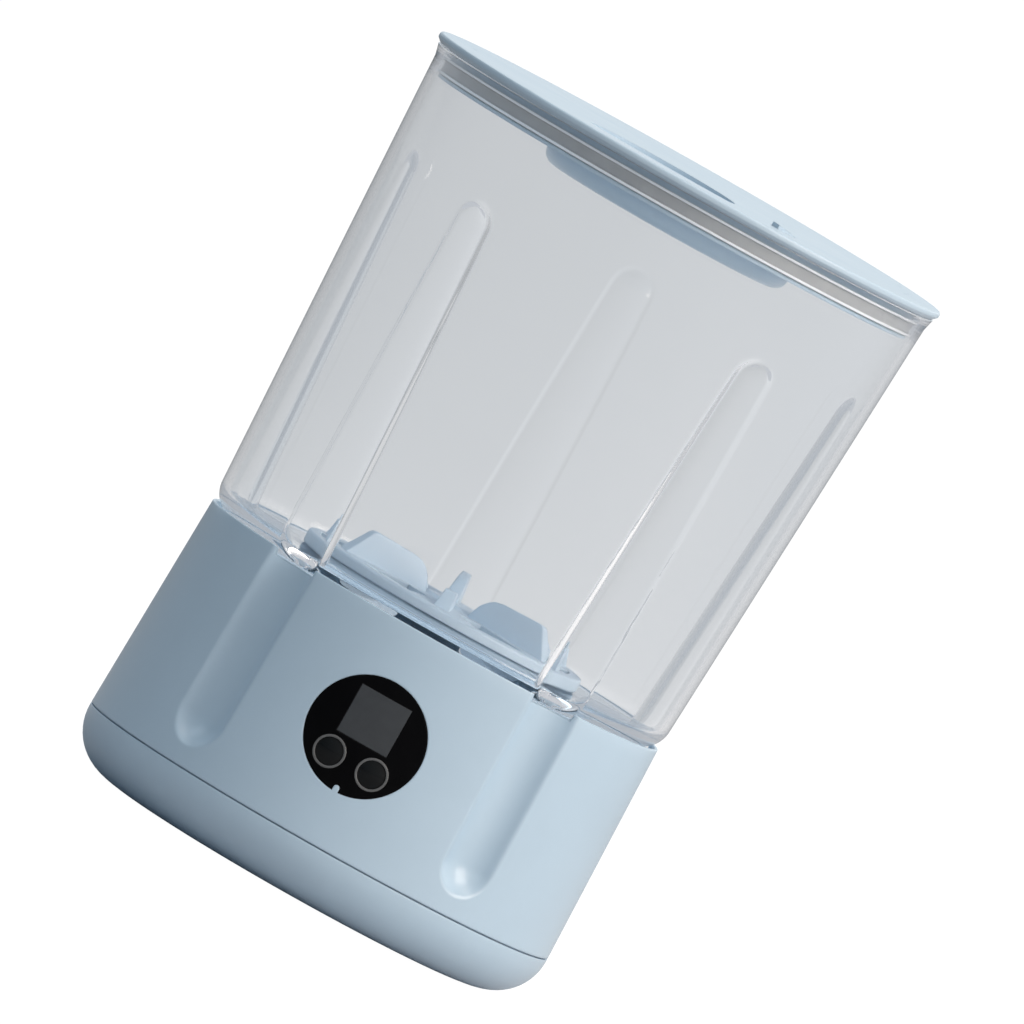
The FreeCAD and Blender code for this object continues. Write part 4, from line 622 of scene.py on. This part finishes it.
def fluting_tree():
    """Presses a ring of round-ended flutes into a turned shell. The inner skin follows at the
    depth that each point stores, and a rim above the deck ends where a flute cuts through it."""
    geometry = "NodeSocketGeometry"
    tree, start, end = group_tree("fluting", "GeometryNodeTree", {
        "Geometry": (geometry, None), "Flutes": ("NodeSocketInt", 5),
        "First Azimuth": (FLOAT, 0.0), "Flute Radius": (FLOAT, 0.0115),
        "Axis Distance": (FLOAT, 0.083), "At Level": (FLOAT, 0.0), "Lean": (FLOAT, 0.0),
        "Round End Level": (FLOAT, 0.2), "Round End Side": (FLOAT, 1.0),
        "Softness": (FLOAT, 0.0026), "Rim Inner": (FLOAT, 0.0), "Rim Foot": (FLOAT, 9.0),
        "Finish": ("NodeSocketMaterial", None),
    }, {"Geometry": geometry})
    read = start.outputs
    place = put(tree, "GeometryNodeInputPosition").outputs[0]
    x, y, z = put(tree, "ShaderNodeSeparateXYZ", {"Vector": place}).outputs
    under = put(tree, "GeometryNodeInputNamedAttribute", {"Name": "under"}).outputs["Attribute"]
    radius = maths(tree, "SQRT", maths(tree, "ADD", maths(tree, "MULTIPLY", x, x),
                                       maths(tree, "MULTIPLY", y, y)))
    azimuth = maths(tree, "ARCTAN2", x, maths(tree, "MULTIPLY", y, -1.0))
    half = maths(tree, "DIVIDE", math.pi, read["Flutes"])
    turn = maths(tree, "WRAP", maths(tree, "SUBTRACT", azimuth, read["First Azimuth"]), half,
                 maths(tree, "MULTIPLY", half, -1.0))
    rise = maths(tree, "SUBTRACT", z, read["At Level"])
    middle = maths(tree, "MULTIPLY_ADD", rise, read["Lean"], read["Axis Distance"])
    past = maths(tree, "MULTIPLY", maths(tree, "SUBTRACT", z, read["Round End Level"]),
                 read["Round End Side"])
    past = maths(tree, "MAXIMUM", past, 0.0)
    reach = maths(tree, "ADD", read["Flute Radius"], under)
    aside = maths(tree, "MULTIPLY", middle, maths(tree, "SINE", turn))
    inside = maths(tree, "MULTIPLY", reach, reach)
    for taken in (past, aside):
        inside = maths(tree, "SUBTRACT", inside, maths(tree, "MULTIPLY", taken, taken))
    chord = maths(tree, "SQRT", maths(tree, "MAXIMUM", inside, 0.0))
    flute = maths(tree, "SUBTRACT", maths(tree, "MULTIPLY", middle, maths(tree, "COSINE", turn)),
                  chord)
    # Beside the flute there is no chord, so the flute's face is put a metre out of reach.
    flute = maths(tree, "ADD", flute, maths(tree, "LESS_THAN", inside, 0.0))
    pressed = maths(tree, "SMOOTH_MIN", radius, flute, read["Softness"])
    scale = maths(tree, "DIVIDE", pressed, maths(tree, "MAXIMUM", radius, 1e-6))
    gone = maths(tree, "MULTIPLY", maths(tree, "GREATER_THAN", z, read["Rim Foot"]),
                 maths(tree, "LESS_THAN", flute, read["Rim Inner"]))
    level = maths(tree, "SUBTRACT", z, maths(
        tree, "MULTIPLY", gone, maths(tree, "SUBTRACT", z, read["Rim Foot"])))
    moved = put(tree, "ShaderNodeCombineXYZ", {
        "X": maths(tree, "MULTIPLY", x, scale), "Y": maths(tree, "MULTIPLY", y, scale),
        "Z": level})
    shaped = put(tree, "GeometryNodeSetPosition", {
        "Geometry": read["Geometry"], "Position": moved.outputs["Vector"]})
    welded = put(tree, "GeometryNodeMergeByDistance", {
        "Geometry": shaped.outputs["Geometry"], "Distance": 1e-6})
    real = put(tree, "GeometryNodeRealizeInstances", {"Geometry": welded.outputs["Geometry"]})
    done = put(tree, "GeometryNodeSetMaterial", {
        "Geometry": real.outputs["Geometry"], "Material": read["Finish"]})
    tree.links.new(done.outputs["Geometry"], end.inputs["Geometry"])
    return tree


def ring_tree():
    """Repeats a shape round the upright axis."""
    geometry = "NodeSocketGeometry"
    tree, start, end = group_tree("ring", "GeometryNodeTree", {
        "Geometry": (geometry, None), "Count": ("NodeSocketInt", 3), "Turn": (FLOAT, 0.0),
        "Finish": ("NodeSocketMaterial", None),
    }, {"Geometry": geometry})
    spots = put(tree, "GeometryNodePoints", {"Count": start.outputs["Count"]})
    index = put(tree, "GeometryNodeInputIndex").outputs[0]
    share = maths(tree, "DIVIDE", maths(tree, "MULTIPLY", index, 2 * math.pi),
                  start.outputs["Count"])
    angle = maths(tree, "ADD", share, start.outputs["Turn"])
    around = put(tree, "ShaderNodeCombineXYZ", {"Z": angle})
    turn = put(tree, "FunctionNodeEulerToRotation", {"Euler": around.outputs["Vector"]})
    copies = put(tree, "GeometryNodeInstanceOnPoints", {
        "Points": spots.outputs[0], "Instance": start.outputs["Geometry"],
        "Rotation": turn.outputs["Rotation"]})
    real = put(tree, "GeometryNodeRealizeInstances", {"Geometry": copies.outputs["Instances"]})
    done = put(tree, "GeometryNodeSetMaterial", {
        "Geometry": real.outputs["Geometry"], "Material": start.outputs["Finish"]})
    tree.links.new(done.outputs["Geometry"], end.inputs["Geometry"])
    return tree


FLUTING = fluting_tree()
RING = ring_tree()


def finished(thing, slot, body, *nodes):
    """Gives a piece its finish and body, and hides the CAD nodes that it stands for."""
    thing.data.materials.clear()
    thing.data.materials.append(FINISHES[slot])
    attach(thing, body)
    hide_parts(*nodes)


# ---------------------------------------------------------------- hopper

def sector_prism(name, inner, outer, half_angle, low, high, azimuth):
    """A closed sector of a ring between two levels, centred on an azimuth."""
    outline, steps = [], 10
    for radius, way in ((inner, 1), (outer, -1)):
        for step in range(steps + 1):
            angle = math.radians(azimuth + way * half_angle * (2 * step / steps - 1))
            outline.append((radius * math.sin(angle), -radius * math.cos(angle), low))
    return prism_piece(name, outline, (0, 0, 1), high - low)


def hopper():
    """The clear bin: a flared, fluted wall on a rounded foot, with its floor and bore."""
    knee_z = FOOT_LEVEL + HOPPER_FOOT_ROUND
    knee_r = HOPPER_FOOT + HOPPER_SLOPE * HOPPER_FOOT_ROUND
    foot = knee_r - HOPPER_FOOT_ROUND
    flare_z = HOPPER_TOP - HOPPER_FLARE_HEIGHT
    flare_r = HOPPER_RIM - HOPPER_SLOPE * HOPPER_FLARE_HEIGHT
    rim, lip = HOPPER_RIM + HOPPER_FLARE, 0.5 * MM
    small = knee_z - HOPPER_FLOOR_TOP

    def wall(z, inset):
        return (knee_r - inset + (z - knee_z) * (flare_r - knee_r) / (flare_z - knee_z), z)

    def wall_points(inset):
        """The straight wall, with close rows where the flutes run out."""
        fine_low, fine_high = HOPPER_FLUTE_END - 8 * MM, HOPPER_FLUTE_END + 12 * MM
        rows = line(wall(knee_z, inset), wall(fine_low, inset), 14)
        rows += line(wall(fine_low, inset), wall(fine_high, inset), 34)
        return rows + line(wall(fine_high, inset), wall(flare_z, inset), 4)

    bore, collar, collar_foot = HOPPER_BORE, HOPPER_BORE + HOPPER_COLLAR_WALL, FOOT_LEVEL + 0.5 * MM
    outer = [(bore, collar_foot), (collar, collar_foot),
             (collar, HOPPER_FLOOR), (HOPPER_FLOOR_ROW, HOPPER_FLOOR),
             (foot - 2 * MM, HOPPER_FLOOR), (foot - 2 * MM, FOOT_LEVEL + 0.3 * MM),
             (foot - 1.7 * MM, FOOT_LEVEL)]
    outer += arc(foot, knee_z, HOPPER_FOOT_ROUND, -90, 0, 14)[:-1] + wall_points(0)
    outer += [(flare_r, flare_z), (rim - 0.2 * MM, HOPPER_TOP - 1.2 * MM)]
    outer += arc(rim - lip, HOPPER_TOP - lip, lip, 0, 90, 4)
    inner_top = HOPPER_RIM - HOPPER_WALL
    inner = arc(inner_top + lip, HOPPER_TOP - lip, lip, 90, 180, 4)
    inner += [wall(flare_z, HOPPER_WALL)] + list(reversed(wall_points(HOPPER_WALL)))
    inner += arc(knee_r - HOPPER_WALL - small, knee_z, small, 0, -90, 8)[1:]
    inner += [(radius, HOPPER_FLOOR_TOP) for radius in (HOPPER_FLOOR_ROW, 16 * MM, bore)]
    depths = [0.0] * len(outer) + [HOPPER_WALL] * len(inner)
    clear_bin = turned_piece("hopper_clear", outer + inner, fluted_azimuths(38), depths)
    run_tree(clear_bin, FLUTING, {
        "Flutes": FLUTES, "First Azimuth": FIRST_FLUTE, "Flute Radius": FLUTE_RADIUS,
        "Axis Distance": HOPPER_FOOT - FLUTE_DEPTH + FLUTE_RADIUS, "At Level": FOOT_LEVEL,
        "Lean": HOPPER_LEAN, "Round End Level": HOPPER_FLUTE_END, "Round End Side": 1.0,
        "Softness": CLEAR_EDGE_SOFTNESS, "Finish": FINISHES["clear_plastic"]})
    hole = sector_prism("floor_drop", FLOOR_HOLE_INNER, FLOOR_HOLE_OUTER, FLOOR_HOLE_HALF_ANGLE,
                        HOPPER_FLOOR - 2 * OVERSHOOT, HOPPER_FLOOR_TOP + 2 * OVERSHOOT, 180)
    combine(clear_bin, hole, "DIFFERENCE")
    smooth(clear_bin, 40)
    finished(clear_bin, "clear_plastic", "hopper", "hopper")


hopper()


# ---------------------------------------------------------------- base shell

def round_bar(name, azimuth, level, radius, inner, outer, half_width):
    """A closed flat bar with round sides that points outwards at an azimuth."""
    angle, steps = math.radians(azimuth), 48
    across = Vector((math.cos(angle), math.sin(angle), 0))
    out = Vector((math.sin(angle), -math.cos(angle), 0))
    outline = []
    for step in range(steps):
        around = 2 * math.pi * (step + 0.5) / steps
        side = math.copysign(half_width, math.cos(around))
        outline.append(out * inner + across * (radius * math.cos(around) + side)
                       + Vector((0, 0, level + radius * math.sin(around))))
    return prism_piece(name, outline, out, outer - inner)


def window_prism():
    """The window's round opening, less the small nib that stands up from its lower edge."""
    radius, level, half = WINDOW_OPENING, WINDOW_LEVEL, NIB_OPENING
    crown = level - WINDOW_RADIUS + NIB_HEIGHT - NIB_RADIUS
    back, steps, nib_steps = -60 * MM, 96, 8
    start = math.asin(half / radius)
    outline = []
    for step in range(steps + 1):
        angle = -math.pi / 2 + start + (2 * math.pi - 2 * start) * step / steps
        outline.append((radius * math.cos(angle), back, level + radius * math.sin(angle)))
    for step in range(nib_steps + 1):
        angle = math.pi - math.pi * step / nib_steps
        outline.append((half * math.cos(angle), back, crown + half * math.sin(angle)))
    return prism_piece("window_opening", outline, (0, -1, 0), 40 * MM)


def tube(name, x, y, outer, bore, low, high):
    """An upright tube with a blind bore from below."""
    bore_end = high - 1 * MM
    section = [(0, high), (outer, high), (outer, low), (bore, low), (bore, bore_end),
               (0, bore_end)]
    made = turned_piece(name, section, even_azimuths(24))
    made.data.transform(Matrix.Translation((x, y, 0)))
    outward(made.data)
    return made


def base_shell():
    """The outer housing: a tapered, fluted wall with a raised rim round the deck."""
    deck_under = DECK_LEVEL - DECK_WALL
    boss_foot = deck_under - BUSH_BOSS_DEPTH
    small, foot = 0.35 * MM, 0.12 * MM
    low_fine, high_fine = BASE_FLUTE_END - 14 * MM, BASE_FLUTE_END + 4 * MM

    def wall(z, inset):
        return (BASE_RADIUS - inset - (z - SEAM_TOP) * BASE_SLOPE, z)

    def wall_points(inset, top):
        """The straight wall, with close rows where the flutes run out."""
        rows = line(wall(SEAM_TOP + foot, inset), wall(low_fine, inset), 3)
        rows += line(wall(low_fine, inset), wall(high_fine, inset), 34)
        return rows + line(wall(high_fine, inset), wall(top, inset), 12)

    outer = [(BASE_RADIUS - TONGUE_INSET, level) for level in (TONGUE_FOOT, SEAM_TOP)]
    outer += arc(BASE_RADIUS - foot, SEAM_TOP + foot, foot, -90, 0, 2)[:-1]
    outer += wall_points(0, RIM_TOP - small)
    outer += arc(RIM_RADIUS - small, RIM_TOP - small, small, 0, 90, 4)
    outer += arc(RIM_INNER + small, RIM_TOP - small, small, 90, 180, 4)
    outer += [(radius, DECK_LEVEL) for radius in (RIM_INNER, *DECK_ROWS, DECK_HOLE)]
    outer += [(DECK_HOLE, boss_foot), (BUSH_BOSS_RADIUS, boss_foot)]
    outer += [(radius, deck_under) for radius in (BUSH_BOSS_RADIUS, *reversed(DECK_ROWS))]
    inner = [wall(deck_under, BASE_WALL)]
    inner += list(reversed(wall_points(BASE_WALL, deck_under)))
    inner += [(BASE_RADIUS - BASE_WALL, TONGUE_FOOT)]
    depths = [0.0] * len(outer) + [BASE_WALL] * len(inner)
    shell = turned_piece("base_shell_fluted", outer + inner, fluted_azimuths(16), depths)
    run_tree(shell, FLUTING, {
        "Flutes": FLUTES, "First Azimuth": FIRST_FLUTE, "Flute Radius": FLUTE_RADIUS,
        "Axis Distance": RIM_RADIUS - FLUTE_DEPTH + FLUTE_RADIUS, "At Level": RIM_TOP,
        "Lean": -BASE_SLOPE, "Round End Level": BASE_FLUTE_END, "Round End Side": -1.0,
        "Softness": EDGE_SOFTNESS, "Rim Inner": RIM_INNER, "Rim Foot": DECK_LEVEL,
        "Finish": FINISHES["base_plastic"]})
    combine(shell, window_prism(), "DIFFERENCE")
    combine(shell, round_bar("inlet_opening", INLET_AZIMUTH, INLET_LEVEL, INLET_END_RADIUS,
                             INLET_FROM, INLET_TO, INLET_HALF_WIDTH), "DIFFERENCE")
    drop = [(-CHUTE_HALF_WIDTH, CHUTE_FRONT), (CHUTE_HALF_WIDTH, CHUTE_FRONT),
            (CHUTE_HALF_WIDTH, CHUTE_BACK), (-CHUTE_HALF_WIDTH, CHUTE_BACK)]
    combine(shell, prism_piece("deck_drop", [(x, y, deck_under - OVERSHOOT) for x, y in drop],
                               (0, 0, 1), DECK_WALL + 2 * OVERSHOOT), "DIFFERENCE")
    for azimuth in POST_AZIMUTHS:
        angle = math.radians(azimuth)
        post = tube("cover_post", POST_CIRCLE * math.sin(angle), -POST_CIRCLE * math.cos(angle),
                    POST_RADIUS, POST_BORE, POST_FOOT, deck_under + OVERSHOOT)
        combine(shell, post, "UNION")
    smooth(shell, 34)
    finished(shell, "base_plastic", "base", "base_shell")


base_shell()


# ---------------------------------------------------------------- rotor

def vane(name, height):
    """One vane, pointing to the front: a steep outer end, a long rounded inner end, and flanks
    that draw in towards the top."""
    low, inner, outer = ROTOR_TOP - 0.4 * MM, VANE_INNER, VANE_OUTER
    top = ROTOR_TOP + height
    side = [(inner, low), (outer, low), (outer, ROTOR_TOP + 0.2 * MM),
            (outer - 5.5 * MM, top - 1 * MM), (outer - 6.4 * MM, top - 0.2 * MM),
            (outer - 8 * MM, top), (inner + 8.3 * MM, top - 0.7 * MM),
            (inner + 5.6 * MM, top - 1.3 * MM), (inner + 4 * MM, top - 2.2 * MM),
            (inner + 2.6 * MM, top - 3.6 * MM), (inner + 1.6 * MM, ROTOR_TOP + 0.5 * height),
            (inner, ROTOR_TOP + 0.6 * MM)]
    mesh = bpy.data.meshes.new(name)
    points = []
    for way in (-1, 1):
        for distance, level in side:
            rise = max(level - ROTOR_TOP, 0)
            half = VANE_HALF_WIDTH - rise * VANE_DRAFT / VANE_DRAFT_HEIGHT
            points.append((way * half, -distance, level))
    count = len(side)
    faces = [tuple(range(count)), tuple(reversed(range(count, 2 * count)))]
    for index in range(count):
        following = (index + 1) % count
        faces.append((index, count + index, count + following, following))
    mesh.from_pydata(points, [], faces)
    outward(mesh)
    return soften(new_piece(name, mesh), 0.45 * MM)


def ring_of(thing, count, first_azimuth):
    """Repeats a piece round the axis, the first copy at an azimuth."""
    return run_tree(thing, RING, {"Count": count, "Turn": math.radians(first_azimuth),
                                  "Finish": FINISHES["rotor_plastic"]})


def rotor():
    """The dosing disc: a hub, three tall and three short vanes, and six pockets."""
    under, edge, hub = ROTOR_TOP - ROTOR_THICKNESS, ROTOR_EDGE, ROTOR_HUB
    journal = JOURNAL_RADIUS
    section = [(0, ROTOR_LOW.z), (journal - 0.3 * MM, ROTOR_LOW.z),
               (journal, ROTOR_LOW.z + 0.3 * MM), (journal, under)]
    section += arc(edge - 0.8 * MM, under + 0.8 * MM, 0.8 * MM, -90, 0, 4)
    section += arc(edge - 1 * MM, ROTOR_TOP - 1 * MM, 1 * MM, 0, 90, 6)
    section += [(hub + 0.3 * MM, ROTOR_TOP), (hub - 0.1 * MM, ROTOR_TOP + 0.2 * MM)]
    section += arc(hub - 2 * MM, ROTOR_TOP + 0.7 * MM, 0.5 * MM, 30, 90, 4)
    section += [(0, ROTOR_TOP + 1.2 * MM)]
    disc = turned_piece("rotor_moulded", section, even_azimuths(120))
    outward(disc.data)
    combine(disc, ring_of(vane("tall_vanes", TALL_VANE), 3, 60), "UNION")
    combine(disc, ring_of(vane("short_vanes", SHORT_VANE), 3, 0), "UNION")
    pocket = sector_prism("food_pockets", POCKET_INNER, POCKET_OUTER, POCKET_HALF_ANGLE,
                          under - OVERSHOOT, ROTOR_TOP + OVERSHOOT, 0)
    combine(disc, ring_of(pocket, 6, 30), "DIFFERENCE")
    corner = SOCKET_FLATS / 2 / math.cos(math.radians(30))
    socket = [(corner * math.cos(angle), corner * math.sin(angle), ROTOR_LOW.z - OVERSHOOT)
              for angle in (math.radians(60 * turn) for turn in range(6))]
    combine(disc, prism_piece("shaft_socket", socket, (0, 0, 1), SOCKET_REACH), "DIFFERENCE")
    smooth(disc, 35)
    finished(disc, "rotor_plastic", "rotor", "feed_rotor")


rotor()


# ---------------------------------------------------------------- camera

LENS, SENSOR = 1000.0, 36.0
VIEW_WIDTH = 307.2 * MM
AZIMUTH, ELEVATION, ROLL = 1.3, 2.9, 29.45
AIM_LEVEL, AIM_RIGHT, AIM_UP = 122.4 * MM, 6.48 * MM, 4.62 * MM


def outwards(azimuth, elevation):
    """The direction away from the object at an azimuth and an elevation in radians."""
    return Vector((math.sin(azimuth) * math.cos(elevation),
                   -math.cos(azimuth) * math.cos(elevation), math.sin(elevation)))


def camera():
    """A long lens, almost level, a little to the right and rolled to the left."""
    azimuth, elevation, roll = (math.radians(angle) for angle in (AZIMUTH, ELEVATION, ROLL))
    back = outwards(azimuth, elevation)
    right = Vector((math.cos(azimuth), math.sin(azimuth), 0))
    up = back.cross(right)
    rolled_right = right * math.cos(roll) + up * math.sin(roll)
    rolled_up = up * math.cos(roll) - right * math.sin(roll)
    aim = Vector((0, 0, AIM_LEVEL)) + rolled_right * AIM_RIGHT + rolled_up * AIM_UP
    data = bpy.data.cameras.new("camera")
    data.lens, data.sensor_width = LENS, SENSOR
    data.clip_end = 100
    thing = bpy.data.objects.new("camera", data)
    bpy.context.scene.collection.objects.link(thing)
    place = Matrix((rolled_right, rolled_up, back)).transposed().to_4x4()
    place.translation = aim + back * (VIEW_WIDTH * LENS / SENSOR)
    thing.matrix_world = place
    bpy.context.scene.camera = thing


camera()


# ---------------------------------------------------------------- stage and light

def floor():
    """A wide pale floor, so bright in itself that only a faint shadow shows on it. Seen through
    clear plastic it glows less, and more to the right: painted light standing in for light from the
    right. What it sends back onto the object is darker to the left."""
    mesh = bpy.data.meshes.new("floor")
    half = 30.0
    mesh.from_pydata([(-half, -half, 0), (half, -half, 0), (half, half, 0), (-half, half, 0)],
                     [], [(0, 1, 2, 3)])
    thing = bpy.data.objects.new("floor", mesh)
    bpy.context.scene.collection.objects.link(thing)
    material, tree, output, place = new_finish("pale_floor")
    paper = put(tree, "ShaderNodeTexNoise", {"Vector": place, "Scale": 3.0, "Detail": 3.0})
    x = put(tree, "ShaderNodeSeparateXYZ", {"Vector": place}).outputs["X"]
    tone = blend_colour(tree, between(tree, x, 0.0, 1.0, -0.25, 0.3), rgb(0.33, 0.342, 0.36),
                        rgb(0.555, 0.565, 0.59))
    tone = blend_colour(tree, maths(tree, "MULTIPLY", paper.outputs["Fac"], 0.06), tone,
                        rgb(0.8, 0.8, 0.8))
    matt = put(tree, "ShaderNodeBsdfDiffuse", {"Color": tone})
    glow = put(tree, "ShaderNodeEmission", {"Color": rgb(1, 1, 1), "Strength": 1.17})
    rays = put(tree, "ShaderNodeLightPath")
    # Painted light: through clear plastic the floor's glow is stronger to the right, with a fixed
    # share where rays have turned many times.
    behind = maths(tree, "MULTIPLY", rays.outputs["Is Transmission Ray"],
                   between(tree, x, 0.5, 0.68, -1.0, 1.0))
    deep = maths(tree, "GREATER_THAN", rays.outputs["Ray Depth"], 3.5)
    behind = maths(tree, "MAXIMUM", behind, maths(tree, "MULTIPLY", deep, 0.36))
    seen = maths(tree, "MAXIMUM", rays.outputs["Is Camera Ray"], behind)
    share = maths(tree, "MULTIPLY", seen, 0.85)
    both = put(tree, "ShaderNodeMixShader", {
        0: share, 1: matt.outputs["BSDF"], 2: glow.outputs["Emission"]})
    tree.links.new(both.outputs["Shader"], output.inputs["Surface"])
    mesh.materials.append(material)


def surroundings():
    """A soft studio: brighter to the right and overhead than to the left. The backdrop is white,
    and a little greyer through clear plastic."""
    world = bpy.data.worlds.new("studio")
    bpy.context.scene.world = world
    world.use_nodes = True
    tree = world.node_tree
    tree.nodes.clear()
    output = tree.nodes.new("ShaderNodeOutputWorld")
    heading = put(tree, "ShaderNodeTexCoord").outputs["Generated"]
    side = vector_maths(tree, "DOT_PRODUCT", heading, (0.85, -0.2, 0.45), output="Value")
    level = between(tree, side, 0.08, 0.85, -0.9, 0.9)
    behind = vector_maths(tree, "DOT_PRODUCT", heading, (0.0, 1.0, 0.0), output="Value")
    level = maths(tree, "ADD", level, between(tree, behind, 0.0, 0.6, 0.5, 1.0))
    light = blend_colour(tree, between(tree, side, 0.0, 1.0, -1.0, 1.0),
                         rgb(0.7, 0.87, 1.0), rgb(1.0, 0.95, 0.9))
    soft = put(tree, "ShaderNodeBackground", {"Color": light, "Strength": level})
    rays = put(tree, "ShaderNodeLightPath")
    backdrop = blend_colour(tree, rays.outputs["Is Camera Ray"], rgb(0.6, 0.615, 0.65),
                            rgb(1, 1, 1))
    white = put(tree, "ShaderNodeBackground", {"Color": backdrop, "Strength": 1.0})
    seen = maths(tree, "MAXIMUM", rays.outputs["Is Camera Ray"],
                 rays.outputs["Is Transmission Ray"])
    deep = maths(tree, "GREATER_THAN", rays.outputs["Ray Depth"], 3.5)
    seen = maths(tree, "MAXIMUM", seen, deep)
    both = put(tree, "ShaderNodeMixShader", {
        0: seen, 1: soft.outputs["Background"], 2: white.outputs["Background"]})
    tree.links.new(both.outputs["Shader"], output.inputs["Surface"])


def soft_light(name, azimuth, elevation, distance, width, height, power, colour):
    """A large soft panel that faces the middle of the object."""
    data = bpy.data.lights.new(name, "AREA")
    data.shape, data.size, data.size_y = "RECTANGLE", width, height
    data.energy, data.color = power, colour
    thing = bpy.data.objects.new(name, data)
    bpy.context.scene.collection.objects.link(thing)
    back = outwards(math.radians(azimuth), math.radians(elevation))
    thing.location = Vector((0, 0, LIGHT_AIM)) + back * distance
    thing.rotation_euler = back.to_track_quat("Z", "Y").to_euler()


floor()
surroundings()
soft_light("key", 62, 32, 1.6, 1.0, 1.2, 18.5, (1.0, 0.88, 0.78))
soft_light("top", 10, 82, 1.5, 1.2, 1.2, 7.0, (1.0, 0.86, 0.76))
soft_light("left_fill", -70, 40, 1.8, 0.6, 1.0, 3.4, (0.76, 0.9, 1.0))
bpy.context.scene.view_settings.view_transform = "Standard"
